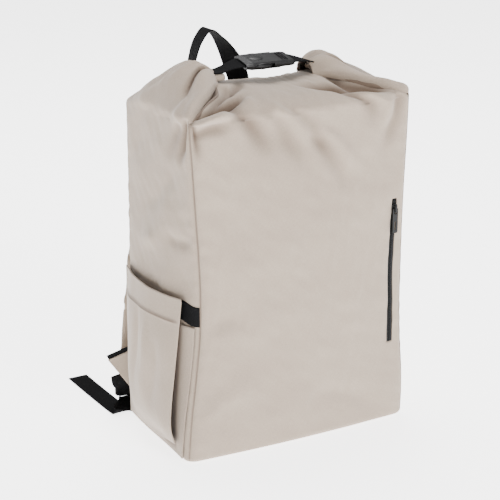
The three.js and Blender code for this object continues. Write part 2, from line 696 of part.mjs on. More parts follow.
// The puller hangs from a bar under the bridge; its window clears the bridge on both sides.
function zipPuller() {
  const half = BRIDGE_WIDTH / 2 + 1.5 * FIT_GAP;
  const top = SLIDER_Z + PULLER_BAR;
  const middle = top - PULLER_LENGTH / 2;
  const bottom = top - PULLER_LENGTH;
  const y0 = PIVOT_Y - PULLER_THICKNESS / 2;
  const y1 = PIVOT_Y + PULLER_THICKNESS / 2;
  const through = (x, low, high) => block(ZIP_OFFSET - x, ZIP_OFFSET + x, y0 - 1, y1 + 1, low, high);
  const tab = plate(PULLER_WIDTH, PULLER_LENGTH, 2, ZIP_OFFSET, y1, y0, middle);
  const eye = through(half, SLIDER_Z - SLIDER_LENGTH / 2 - 1.5, top + PULLER_BAR);
  const slot = through(PULLER_SLOT / 2, bottom + 2 * PULLER_SLOT, bottom + 7 * PULLER_SLOT);
  const bar = new THREE.CylinderGeometry(PULLER_BAR, PULLER_BAR, PULLER_WIDTH - 2, 10)
    .rotateZ(RIGHT_ANGLE)
    .translate(ZIP_OFFSET, PIVOT_Y, SLIDER_Z);
  return join(cut(tab, eye, slot), bar);
}

// The side's x at a place on the left side panel.
function leftSurface(y, z) {
  const level = levelAt(levelFor(z), null);
  return stuffed(-level.halfWidth, y, level).x;
}

const POCKET_BOTTOM = BASE_RADIUS * 0.8;
const FOLD_AT = 6 / (POCKET_PATH.length - 1); // the fold's row as a share of the path
const FOLD_FULLNESS = 0.4; // where the pocket is this full, its front pleat is wholly folded

// A place on the pocket: u along its path from the back seam to the front seam, v from its bottom to its hem.
function pocketPoint(u, v) {
  const t = (u + 1) / 2;
  const inTheMain = 1 - smooth((t - FOLD_AT - 0.002) / 0.03);
  const top = POCKET_HEIGHT - (1 - inTheMain) * (POCKET_HEM + BAND_DROP);
  const z = POCKET_BOTTOM + (top - POCKET_BOTTOM) * v;
  const height = (z - POCKET_BOTTOM) / (POCKET_HEIGHT - POCKET_BOTTOM);
  const fullness = column(POCKET_LEVELS, "fullness", height);
  const unfolded = POCKET_PATH[0].along + (POCKET_PATH.at(-1).along - POCKET_PATH[0].along) * t;
  const folded = column(POCKET_PATH, "along", t);
  const y = HALF_DEPTH * (unfolded + (folded - unfolded) * Math.min(1, fullness / FOLD_FULLNESS));
  const out = POCKET_BULGE * column(POCKET_PATH, "out", t) * fullness;
  const clearance = POCKET_CLOTH + 2 * FIT_GAP + HEM_STANDS_OFF * inTheMain * v;
  return point(leftSurface(y, z) - clearance - out, y, z);
}

const sidePocket = () => sheet(pocketPoint, range(31, -1, 1), range(9, 0, 1), POCKET_CLOTH);

// The black band that comes out of the hem and is sewn into the front seam.
function pocketBand() {
  const middle = POCKET_HEIGHT - POCKET_HEM / 2 - 1;
  const frames = range(5, -0.68, -0.925).map((share) => {
    const y = share * HALF_DEPTH;
    const drop = BAND_DROP * smooth((-share - 0.68) / 0.25);
    return {
      at: point(leftSurface(y, middle) - FIT_GAP - WEBBING / 2, y, middle - drop),
      across: point(0, 0, 1),
      up: point(1, 0, 0),
    };
  });
  return sweep(rectangle(POCKET_HEM - 4, WEBBING - 0.4), frames);
}

const buckleAcross = point(0, 1, 0).applyAxisAngle(point(1, 0, 0), THREE.MathUtils.degToRad(BUCKLE_TILT));

// Webbing from the end of the roll to the buckle. side is -1 on the left and 1 on the right.
function closureStrap(side, rollEnd) {
  const buckleEnd = BUCKLE_LENGTH / 2 - BUCKLE_GRIP + 2;
  const bottom = ROLL_HIGH + ROLL_THICKNESS / 2 + FIT_GAP + WEBBING / 2;
  const flat = point(0, 1, 0);
  const row = (x, z, across) => ({ at: point(side * x, ROLL_CENTRE_Y, z), across });
  const climb = (share) => bottom + share * (BUCKLE_HEIGHT - bottom);
  const rows = [
    row(rollEnd + STRAP_SEWN, bottom, flat),
    row(rollEnd + 1, bottom, flat),
    row(rollEnd - STRAP_CLIMB, climb(0.45), flat),
    row(buckleEnd + BUCKLE_GRIP, climb(1), buckleAcross),
    row(buckleEnd, climb(1), buckleAcross),
  ];
  return sweep(rectangle(WEBBING_WIDTH, WEBBING), ribbonFrames(rows, 12));
}

// Tilts a piece of the buckle about its middle line.
const tilted = (geometry) =>
  geometry
    .translate(0, -ROLL_CENTRE_Y, -BUCKLE_HEIGHT)
    .rotateX(THREE.MathUtils.degToRad(BUCKLE_TILT))
    .translate(0, ROLL_CENTRE_Y, BUCKLE_HEIGHT);

// Buckle: the socket on the left with its finger windows, the prongs on the right.
const SOCKET_LEFT = -BUCKLE_LENGTH / 2;
const SOCKET_RIGHT = SOCKET_LEFT + BUCKLE_LENGTH * SOCKET_SHARE;
const SOCKET_INSIDE = BUCKLE_THICKNESS - 2 * BUCKLE_WALL;

// A box along the buckle from x0 to x1, centred y off its middle line.
function bar(x0, x1, y, width, height) {
  const middle = ROLL_CENTRE_Y + y;
  const low = BUCKLE_HEIGHT - height / 2;
  return block(x0, x1, middle - width / 2, middle + width / 2, low, low + height);
}

// A rounded body along the buckle, through rows of {x, width, height} as shares of its full section.
function buckleBody(thickness, rows) {
  const frames = rows.map(({ x, width, height }) => ({
    at: point(x, ROLL_CENTRE_Y, BUCKLE_HEIGHT),
    across: point(0, width, 0),
    up: point(0, 0, height),
  }));
  return sweep(roundedOutline(BUCKLE_WIDTH, thickness, 3, 2), frames);
}

const strapHole = (x0, x1) => bar(x0, x1, 0, WEBBING_WIDTH + 2 * FIT_GAP, WEBBING + 2 * FIT_GAP);

function buckleSocket() {
  const shell = buckleBody(BUCKLE_THICKNESS, [
    { x: SOCKET_LEFT, width: 0.92, height: 0.75 },
    { x: SOCKET_LEFT + BUCKLE_GRIP, width: 1, height: 1 },
    { x: SOCKET_RIGHT, width: 1, height: 1 },
  ]);
  const start = SOCKET_LEFT + 1.5 * BUCKLE_GRIP;
  const inside = bar(start, SOCKET_RIGHT + 1, 0, BUCKLE_WIDTH - 2 * BUCKLE_SIDE_WALL, SOCKET_INSIDE);
  const windowStart = start + BUCKLE_GRIP / 2;
  const windowEnd = SOCKET_RIGHT - BUCKLE_GRIP;
  const window = (side) =>
    bar(windowStart, windowEnd, (side * BUCKLE_WIDTH) / 2, BUCKLE_WIDTH / 4, SOCKET_INSIDE);
  const hole = strapHole(SOCKET_LEFT - 1, SOCKET_LEFT + BUCKLE_GRIP);
  return tilted(cut(shell, inside, window(-1), window(1), hole));
}

function bucklePlug() {
  const start = SOCKET_RIGHT + FIT_GAP;
  const end = BUCKLE_LENGTH / 2;
  const stem = buckleBody(BUCKLE_THICKNESS - 1, [
    { x: start, width: 0.97, height: 1 },
    { x: end - BUCKLE_GRIP / 2, width: 0.97, height: 0.9 },
    { x: end, width: 0.92, height: 0.75 },
  ]);
  const height = SOCKET_INSIDE - 3 * FIT_GAP;
  const reach = SOCKET_RIGHT - PRONG_LENGTH;
  const outside = BUCKLE_WIDTH / 2 - BUCKLE_SIDE_WALL - FIT_GAP;
  const tongue = bar(reach + 2, start + 1, 0, 1.4 * PRONG_WIDTH, height);
  const prong = (side) =>
    join(
      bar(reach + 6, start + 1, side * (outside - 2.8), PRONG_WIDTH, height),
      bar(reach, reach + 7, side * (outside - 2), 4, height),
    );
  const hole = strapHole(end - BUCKLE_GRIP, end + 1);
  return tilted(join(cut(stem, hole), tongue, prong(-1), prong(1)));
}

// The back panel's y at a place on it.
function backSurface(x, z) {
  const level = levelAt(levelFor(z), BACK_TOP);
  return stuffed(x, level.halfDepth, level).y;
}

// The webbing loop on the back to lift the bag by.
function grabHandle() {
  const rows = HANDLE_PATH.map(({ x, lift, lean, turn }) => {
    const across = HANDLE_CENTRE + x * HANDLE_SPAN;
    const z = SHOULDER_HEIGHT + lift * HANDLE_RISE;
    const seat = backSurface(across, z) + FIT_GAP + WEBBING / 2;
    return { at: point(across, seat + lean * HANDLE_LEAN, z), across: levelWay(turn) };
  });
  return sweep(rectangle(WEBBING_WIDTH, WEBBING), ribbonFrames(rows, 27));
}

// The padded left shoulder strap, hanging down the back and narrowing to its lower end.
function strapPoint({ out, lift, lean }) {
  const x = -out * HALF_WIDTH;
  const z = STRAP_END + lift * (STRAP_TOP - STRAP_END);
  return point(x, backSurface(x, z) + FIT_GAP + STRAP_THICKNESS / 2 + lean * STRAP_LEAN, z);
}

function shoulderStrap() {
  const rows = STRAP_PATH.map((row) => ({ at: strapPoint(row), across: levelWay(row.turn) }));
  const steps = 19;
  const frames = ribbonFrames(rows, steps);
  frames.forEach(({ across }, i) => across.multiplyScalar(column(STRAP_PATH, "width", i / (steps - 1))));
  return sweep(roundedOutline(STRAP_WIDTH, STRAP_THICKNESS, STRAP_THICKNESS / 2 - 0.3, 2), frames);
}

// Where the triangle of cloth is sewn on, beside the bag's lower left back corner.
const tabOut = levelWay(TAB_WAY);
const tabNormal = tabOut.clone().cross(point(0, 0, 1));
const TAB_X = -HALF_WIDTH + TAB_INSET;
const TAB_Y = backSurface(TAB_X, TAB_BOTTOM + TAB_HEIGHT / 2) + FIT_GAP + TAB_THICKNESS / 2;

// A place at the triangle: out from its sewn edge, up from TAB_BOTTOM, and behind its middle plane.
const byTheTab = (out, up, behind) =>
  point(TAB_X, TAB_Y, TAB_BOTTOM + up).addScaledVector(tabOut, out).addScaledVector(tabNormal, behind);

// A plate in the plane of the triangle, from an outline of places out and up.
function inTabPlane(outline, thickness) {
  const frames = [-0.5, 0.5].map((share) => ({
    at: byTheTab(0, 0, share * thickness),
    across: tabOut,
    up: point(0, 0, 1),
  }));
  return sweep(
    outline.map(([x, y]) => new THREE.Vector2(x, y)),
    frames,
  );
}

const TAB_TIP = TAB_HEIGHT * 0.74;

const anchorTab = () =>
  inTabPlane(
    [
      [0, 0],
      [TAB_REACH, TAB_TIP - FIT_GAP],
      [0, TAB_HEIGHT - FIT_GAP],
    ],
    TAB_THICKNESS,
  );

// The webbing that binds the triangle's upper edge.
const tabBinding = () =>
  inTabPlane(
    [
      [0, TAB_HEIGHT],
      [TAB_REACH, TAB_TIP],
      [TAB_REACH + 1, TAB_TIP + BINDING_WIDTH],
      [0, TAB_HEIGHT + BINDING_WIDTH],
    ],
    BINDING_THICKNESS,
  );

const strapEnd = strapPoint(STRAP_PATH.at(-1));
const LOCK_X = strapEnd.x;
const LOCK_Y = strapEnd.y + LOCK_THICKNESS / 2;
const LOCK_TOP = STRAP_END - FIT_GAP;

// The adjuster at the end of the padded strap: a plate with two slots and a bar between them.
function ladderLock() {
  const front = LOCK_Y - LOCK_THICKNESS;
  const body = plate(LOCK_WIDTH, LOCK_LENGTH, 3, LOCK_X, LOCK_Y, front, LOCK_TOP - LOCK_LENGTH / 2);
  const half = WEBBING_WIDTH / 2 + FIT_GAP;
  const slot = (row) => {
    const z = LOCK_TOP - LOCK_BAR - row * (LOCK_SLOT + LOCK_BAR);
    return block(LOCK_X - half, LOCK_X + half, front - 1, LOCK_Y + 1, z - LOCK_SLOT, z);
  };
  return cut(body, slot(0), slot(1));
}

// Webbing from behind the triangle down over the adjuster.
const WEBBING_END = LOCK_TOP - LOCK_LENGTH - FIT_GAP;
const LOCK_FACE = LOCK_Y - LOCK_THICKNESS - 2.2 * FIT_GAP - WEBBING / 2;
const sideways = point(-1, 0, 0);

function anchorWebbing() {
  const behind = (TAB_THICKNESS + WEBBING) / 2 + FIT_GAP;
  const rows = [
    byTheTab(TAB_REACH * 0.57, TAB_HEIGHT * 0.42, behind),
    byTheTab(TAB_REACH * 0.54, TAB_HEIGHT * 0.27, 2 * behind),
    point(LOCK_X - 3, LOCK_FACE - 1.5, WEBBING_END + LOCK_LENGTH * 0.6),
    point(LOCK_X, LOCK_FACE, WEBBING_END + LOCK_LENGTH * 0.28),
    point(LOCK_X, LOCK_FACE, WEBBING_END),
  ].map((at) => ({ at, across: sideways }));
  return sweep(rectangle(WEBBING_WIDTH, WEBBING), ribbonFrames(rows, 11));
}

// The free end of the webbing, from the adjuster down to the floor, folded back and along it.
function webbingTail() {
  const floor = WEBBING / 2;
  const rows = TAIL_PATH.map(({ out, along, layers }) =>
    point(
      LOCK_X - out * TAIL_SWING,
      LOCK_FACE - TAIL_FORWARD + along * TAIL_LENGTH,
      floor + layers * TAIL_LAYER,
    ),
  );
  const start = LOCK_FACE - FIT_GAP;
  rows.unshift(point(LOCK_X, start, WEBBING_END - FIT_GAP), point(LOCK_X, start, WEBBING_END - 4));
  const frames = ribbonFrames(
    rows.map((at) => ({ at, across: sideways })),
    34,
  );
  for (const { at, across, up } of frames)
    at.z = Math.max(at.z, Math.abs(across.z) * (WEBBING_WIDTH / 2) + Math.abs(up.z) * floor);
  return sweep(rectangle(WEBBING_WIDTH, WEBBING), frames);
}

// The same piece on the other side of the bag.
function mirrored(geometry) {
  const copy = geometry.clone().scale(-1, 1, 1);
  const index = [...copy.index.array];
  for (let i = 0; i < index.length; i += 3) [index[i], index[i + 1]] = [index[i + 1], index[i]];
  return copy.setIndex(index);
}

const meshes = {
  front_panel: [frontPanel(), "canvas"],
  back_panel: [backPanel(), "canvas"],
  left_side_panel: [leftPanel(), "canvas"],
  right_side_panel: [rightPanel(), "canvas"],
  base_panel: [basePanel(), "canvas"],
  mouth_roll: [mouthRoll(), "canvas"],
  side_pocket: [sidePocket(), "canvas"],
  pocket_band: [pocketBand(), "webbing"],
  zip_tape: [zipTape(), "zipper"],
  zip_slider: [zipSlider(), "plastic"],
  zip_puller: [zipPuller(), "plastic"],
  closure_strap_left: [closureStrap(-1, ROLL_END_LEFT), "webbing"],
  closure_strap_right: [closureStrap(1, ROLL_END_RIGHT), "webbing"],
  buckle_socket: [buckleSocket(), "plastic"],
  buckle_plug: [bucklePlug(), "plastic"],
  grab_handle: [grabHandle(), "webbing"],
};
const onBothSides = {
  shoulder_strap: [shoulderStrap(), "canvas"],
  anchor_tab: [anchorTab(), "canvas"],
  tab_binding: [tabBinding(), "webbing"],
  ladder_lock: [ladderLock(), "plastic"],
  anchor_webbing: [anchorWebbing(), "webbing"],
  webbing_tail: [webbingTail(), "webbing"],
};
for (const [name, [geometry, finish]] of Object.entries(onBothSides)) {
  meshes[name + "_left"] = [geometry, finish];
  meshes[name + "_right"] = [mirrored(geometry), finish];
}

// Vertices are kept to a thousandth of a millimetre.
function rounded(geometry) {
  const places = geometry.attributes.position;
  for (let i = 0; i < places.array.length; i++) places.array[i] = Math.round(places.array[i] * 1000) / 1000;
  return geometry;
}

const backpack = new THREE.Group();
for (const [name, [geometry, finish]] of Object.entries(meshes)) {
  const mesh = new THREE.Mesh(rounded(geometry), new THREE.MeshStandardMaterial(colours[finish]));
  mesh.name = name;
  backpack.add(mesh);
}

export default backpack;
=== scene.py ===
"""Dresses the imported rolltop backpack: canvas, webbing and moulded fittings on the fixed frame."""

import json
import math
from types import SimpleNamespace

import bmesh
import bpy
import numpy as np
from mathutils import Matrix, Vector


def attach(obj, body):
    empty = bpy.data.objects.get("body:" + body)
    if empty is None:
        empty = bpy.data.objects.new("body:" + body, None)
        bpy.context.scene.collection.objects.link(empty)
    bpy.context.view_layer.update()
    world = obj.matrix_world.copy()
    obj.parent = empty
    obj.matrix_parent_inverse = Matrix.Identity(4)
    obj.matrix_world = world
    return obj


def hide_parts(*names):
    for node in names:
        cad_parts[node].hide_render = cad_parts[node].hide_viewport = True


bl_info = {
    "name": "Rolltop Backpack",
    "version": (1, 0, 0),
    "blender": (4, 5, 0),
    "location": "View3D > Sidebar > Backpack",
    "description": "Models the cloth, webbing and fittings of a rolltop backpack over its frame",
    "category": "Object",
}

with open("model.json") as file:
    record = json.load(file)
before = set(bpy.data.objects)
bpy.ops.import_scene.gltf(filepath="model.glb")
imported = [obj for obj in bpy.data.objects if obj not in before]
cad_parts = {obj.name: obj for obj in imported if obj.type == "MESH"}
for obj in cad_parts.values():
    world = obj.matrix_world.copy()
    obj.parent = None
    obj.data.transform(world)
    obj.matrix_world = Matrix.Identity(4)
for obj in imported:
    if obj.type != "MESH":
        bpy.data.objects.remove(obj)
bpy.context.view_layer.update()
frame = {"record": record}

# Driving sizes in metres
BAG_WIDTH = 0.280
BAG_DEPTH = 0.160
SHOULDER_HEIGHT = 0.386
RIDGE_RISE = 0.0235
RIDGE_LIFT = 0.005
EAR_RISE = 0.051
LEFT_EAR_TIP = 0.070
RIGHT_EAR_TIP = 0.055
EAR_CLOTH = 0.100
CORNER_RADIUS = 0.010
BASE_RADIUS = 0.006
CLOTH = 0.0015
SEAM_OVERLAP = 0.0004
FRONT_BULGE = 0.014
SIDE_BULGE = 0.007
BACK_BULGE = 0.004
SEAM_SWAY = 0.009
CORNER_DROP = 0.012
CORNER_LIFT = 0.005
BASE_FORWARD = 0.004
BASE_SIDE_INSET = 0.004
BASE_END_INSET = 0.006
BASE_RIPPLE = 0.0004
BASE_FLATTENED = 0.4
TOP_FADE = 0.7
EAR_BLEND = 0.3
EAR_DROOP = 2.2
LIP = 0.14
LIP_DEPTH = 0.007
LIP_PULL = 0.45
HALF_WIDTH = BAG_WIDTH / 2
HALF_DEPTH = BAG_DEPTH / 2
BAG_MIDDLE = (0, 0, 0.2)

ROLL_WIDTH = 0.030
ROLL_LAYER = 0.0024
ROLL_PITCH = 0.0029
ROLL_CENTRE_Y = 0.003
ROLL_TURN_RADIUS = 0.0075
ROLL_TURN_AT = 0.079
ROLL_END_LEFT = 0.058
ROLL_END_RIGHT = 0.061
ROLL_WALL = 0.6

WEBBING_WIDTH = 0.025
WEBBING = 0.0016
FIT_GAP = 0.0004
BUCKLE_LENGTH = 0.062
BUCKLE_WIDTH = 0.032
BUCKLE_THICKNESS = 0.0085
BUCKLE_GRIP = 0.008
BUCKLE_HEIGHT = SHOULDER_HEIGHT + 0.044
BUCKLE_TILT = 12
STRAP_SEWN = 0.015
STRAP_CLIMB = 0.009
STRAP_CLIMB_SHARE = 0.45
STRAP_IN_BUCKLE = 0.002
ARM_LENGTH = 0.011
ARM_AT = -0.010
OVAL_AT = -0.012
GRIP_RIBS_AT = (0.0175, 0.0205, 0.0235)

HANDLE_SPAN = 0.060
HANDLE_RISE = 0.070
HANDLE_CENTRE = -0.022
HANDLE_LEAN = 0.004

ZIP_LENGTH = 0.174
ZIP_BOTTOM = 0.098
ZIP_OFFSET = 0.122
ZIP_WIDTH = 0.007
ZIP_WANDER = 0.0025
ZIP_TOOTH = 0.0016
TOOTH_HALF_WIDTH = 0.0011
TOOTH_HALF_DEPTH = 0.0006
TOOTH_APART = 0.0007
TOOTH_PROUD = 0.0004
TOOTH_LEAN = 12

POCKET_HEIGHT = 0.190
POCKET_HEM = 0.027
POCKET_BULGE = 0.014
POCKET_CLOTH = 0.0012
POCKET_FOLD = 0.062
HEM_STANDS_OFF = 0.001
BAND_DROP = 0.005
BAND_START = -0.68
BAND_END = -0.965
POCKET_DENTS = 0.0006
POCKET_DENT_LENGTHS = (0.03, 0.09)
HEM_GROOVE = 0.0012
HEM_GROOVE_BREADTH = 0.0014
HEM_RISE = 0.0004
STITCH_LENGTH = 0.0026
STITCH_SPACE = 0.0007
STITCH_RADIUS = 0.00028

STRAP_WIDTH = 0.058
STRAP_THICKNESS = 0.009
STRAP_TOP = SHOULDER_HEIGHT - 0.034
STRAP_END = 0.036
STRAP_LEAN = 0.026
PAD_SPREAD = 1.03
PAD_FLATTENED = 0.78
PAD_SWELL = 0.0012
PAD_RELAXED = 26
TAB_HEIGHT = 0.060
TAB_REACH = 0.0325
TAB_BOTTOM = 0.022
TAB_INSET = 0.007
TAB_WAY = 150.6
TAB_THICKNESS = 0.002
BINDING_WIDTH = 0.005
BINDING_THICKNESS = 0.003
LOCK_LENGTH = 0.022
LOCK_THICKNESS = 0.003
TAIL_LENGTH = 0.128
TAIL_SWING = 0.021
TAIL_FORWARD = 0.018
TAIL_LAYER = 0.0026

# Folds, dents and seams of the cloth, in metres along it or out from it, and the painted shade that darkens
# its folds and seams
CREASE_DEPTH = 1.35
# Painted shade: a fold this deep is fully darkened, and folds are darkened only above the given height,
# fading in over the given length
PAINTED_SHADE_FOLD_DEPTH = 0.0075
PAINTED_SHADE_FOLDS_FROM = 0.29
PAINTED_SHADE_FOLDS_FADE = 0.08
# Painted shade along each seam: how dark it is, and how far from the seam it reaches
SEAM_SHADE = 0.75
SEAM_LINE = 0.002
SEAM_BREADTH = 0.0022
DENT_LENGTHS = (0.05, 0.13)
DENT_EDGE = 0.02
RUMPLE_SHARE = 0.35
RUMPLE_LENGTHS = (0.014, 0.04)
RUMPLE_EDGE = 0.01
PUCKER_LENGTH = 0.021
PUCKER_REACH = 0.011
PUCKER_EDGE = 0.005
CANVAS_TINT = (0.72, 0.636, 0.556)
# The colour that painted shade multiplies the canvas by where it is darkest
HOLLOW_SHADE = (0.42, 0.37, 0.34)
THREAD = 0.0011
ZIP_THREAD = 0.0007
RIB = 0.0016

# Columns of faces across the front: left of the zip, over it and right of it
FRONT_COLUMNS = (118, 4, 12)

# Levels up the bag from the floor to the shoulder: shares of the bulges and of the seams' sway
BODY_LEVELS = [
    {"front": 0.35, "side": 0.6, "back": 0.2, "left": 0.85, "right": 0.6},
    {"front": 0.55, "side": 0.9, "back": 0.6, "left": 0.3, "right": 0.7},
    {"front": 0.75, "side": 1.0, "back": 0.9, "left": -0.6, "right": 0.35},
    {"front": 0.93, "side": 1.0, "back": 1.0, "left": -1.3, "right": 0.1},
    {"front": 1.0, "side": 0.8, "back": 1.0, "left": -1.45, "right": 0.1},
    {"front": 0.95, "side": 0.6, "back": 0.9, "left": -1.2, "right": 0.15},
    {"front": 0.8, "side": 0.5, "back": 0.7, "left": -0.8, "right": 0.3},
    {"front": 0.6, "side": 0.35, "back": 0.4, "left": -0.4, "right": 0.55},
    {"front": 0.4, "side": 0.25, "back": 0.2, "left": 0.0, "right": 0.7},
]

# The front panel from the shoulder up and back over the roll
FRONT_TOP = [
    {"rise": 0.0, "depth": 1.0, "width": 1.0, "corner": 0.071},
    {"rise": 0.28, "depth": 0.985, "width": 0.975, "corner": 0.12},
    {"rise": 0.53, "depth": 0.93, "width": 0.9, "corner": 0.22},
    {"rise": 0.78, "depth": 0.82, "width": 0.81, "corner": 0.3},
    {"rise": 0.92, "depth": 0.64, "width": 0.68, "corner": 0.3},
    {"rise": 0.98, "depth": 0.42, "width": 0.6, "corner": 0.21},
    {"rise": 1.0, "depth": 0.2, "width": 0.54, "corner": 0.1},
    {"rise": 1.0, "depth": -0.02, "width": 0.52, "corner": 0.03},
    {"rise": 0.985, "depth": -0.15, "width": 0.52, "corner": 0.015},
]

# The back panel from the shoulder up and forward under the roll
BACK_TOP = [
    {"rise": 0.0, "depth": 1.0, "width": 1.0, "corner": 0.071},
    {"rise": 0.25, "depth": 0.98, "width": 0.98, "corner": 0.12},
    {"rise": 0.42, "depth": 0.92, "width": 0.93, "corner": 0.2},
    {"rise": 0.52, "depth": 0.8, "width": 0.86, "corner": 0.27},
    {"rise": 0.56, "depth": 0.62, "width": 0.78, "corner": 0.28},
    {"rise": 0.55, "depth": 0.42, "width": 0.7, "corner": 0.22},
    {"rise": 0.5, "depth": 0.22, "width": 0.64, "corner": 0.14},
    {"rise": 0.48, "depth": 0.02, "width": 0.6, "corner": 0.06},
    {"rise": 0.48, "depth": -0.18, "width": 0.58, "corner": 0.03},
]

# A side panel from the shoulder up and in to the tip of its ear
EAR_LEVELS = [
    {"reach": 1.0, "rise": 0.0, "spread": 1.0, "drop": 0.0, "back": 0.0},
    {"reach": 0.99, "rise": 0.16, "spread": 0.985, "drop": 0.05, "back": 0.01},
    {"reach": 0.91, "rise": 0.33, "spread": 0.95, "drop": 0.13, "back": 0.02},
    {"reach": 0.79, "rise": 0.49, "spread": 0.88, "drop": 0.22, "back": 0.03},
    {"reach": 0.65, "rise": 0.67, "spread": 0.78, "drop": 0.34, "back": 0.05},
    {"reach": 0.48, "rise": 0.86, "spread": 0.65, "drop": 0.45, "back": 0.06},
    {"reach": 0.29, "rise": 0.98, "spread": 0.5, "drop": 0.48, "back": 0.07},
    {"reach": 0.12, "rise": 0.94, "spread": 0.36, "drop": 0.4, "back": 0.06},
    {"reach": -0.02, "rise": 0.81, "spread": 0.24, "drop": 0.34, "back": 0.05},
]

# The side pocket from the back seam to the front seam
POCKET_PATH = [
    {"along": 0.95, "out": 0.0},
    {"along": 0.8, "out": 0.35},
    {"along": 0.5, "out": 0.8},
    {"along": 0.1, "out": 1.0},
    {"along": -0.35, "out": 1.0},
    {"along": -0.7, "out": 0.93},
    {"along": -POCKET_FOLD / HALF_DEPTH - 0.015, "out": 0.85},
    {"along": -0.7, "out": 0.74},
    {"along": -0.52, "out": 0.68},
    {"along": -0.36, "out": 0.36},
    {"along": -0.5, "out": 0.04},
    {"along": -0.74, "out": 0.03},
    {"along": -0.93, "out": 0.0},
]
POCKET_LEVELS = [
    {"fullness": 0.0},
    {"fullness": 0.85},
    {"fullness": 1.0},
    {"fullness": 0.95},
    {"fullness": 0.85},
    {"fullness": 0.68},
    {"fullness": 0.44},
]
POCKET_BOTTOM = BASE_RADIUS * 0.8
FOLD_AT = 6 / (len(POCKET_PATH) - 1)
FOLD_FULLNESS = 0.4

# The grab handle from its right foot over the top to its left foot; turn in degrees
HANDLE_PATH = [
    {"x": 0.58, "lift": -0.36, "lean": 0, "turn": 0},
    {"x": 0.57, "lift": -0.04, "lean": 0.03, "turn": 0},
    {"x": 0.51, "lift": 0.2, "lean": 0.35, "turn": -22},
    {"x": 0.3, "lift": 0.6, "lean": 0.7, "turn": -60},
    {"x": 0.08, "lift": 0.87, "lean": 0.95, "turn": -84},
    {"x": -0.12, "lift": 1.0, "lean": 1.0, "turn": -92},
    {"x": -0.33, "lift": 0.82, "lean": 0.85, "turn": -94},
    {"x": -0.47, "lift": 0.52, "lean": 0.55, "turn": -97},
    {"x": -0.54, "lift": 0.25, "lean": 0.3, "turn": -106},
    {"x": -0.54, "lift": -0.04, "lean": 0.03, "turn": -150},
    {"x": -0.52, "lift": -0.36, "lean": 0, "turn": -180},
]

# A padded shoulder strap from its top seam down to its lower end; turn in degrees
STRAP_PATH = [
    {"out": 0.34, "lift": 1.0, "lean": 0.0, "turn": 0, "width": 1},
    {"out": 0.4, "lift": 0.9, "lean": 0.16, "turn": 0, "width": 1},
    {"out": 0.54, "lift": 0.78, "lean": 0.36, "turn": 2, "width": 1},
    {"out": 0.69, "lift": 0.64, "lean": 0.52, "turn": 4, "width": 1},
    {"out": 0.76, "lift": 0.48, "lean": 0.66, "turn": 6, "width": 1},
    {"out": 0.8, "lift": 0.31, "lean": 0.85, "turn": 8, "width": 0.95},
    {"out": 0.87, "lift": 0.15, "lean": 1.0, "turn": 6, "width": 0.72},
    {"out": 0.957, "lift": 0.05, "lean": 0.76, "turn": 0, "width": 0.5},
    {"out": 0.957, "lift": 0.0, "lean": 0.76, "turn": 0, "width": 0.48},
]

# The free webbing from below the adjuster to its tip
TAIL_PATH = [
    {"out": 0.2, "along": 0.08, "layers": 2.8},
    {"out": 0.71, "along": 0, "layers": 2},
    {"out": 0.76, "along": -0.02, "layers": 1},
    {"out": 0.81, "along": 0, "layers": 0},
    {"out": 0.86, "along": 0.07, "layers": 0},
    {"out": 0.95, "along": 0.5, "layers": 0},
    {"out": 1, "along": 1, "layers": 0},
]

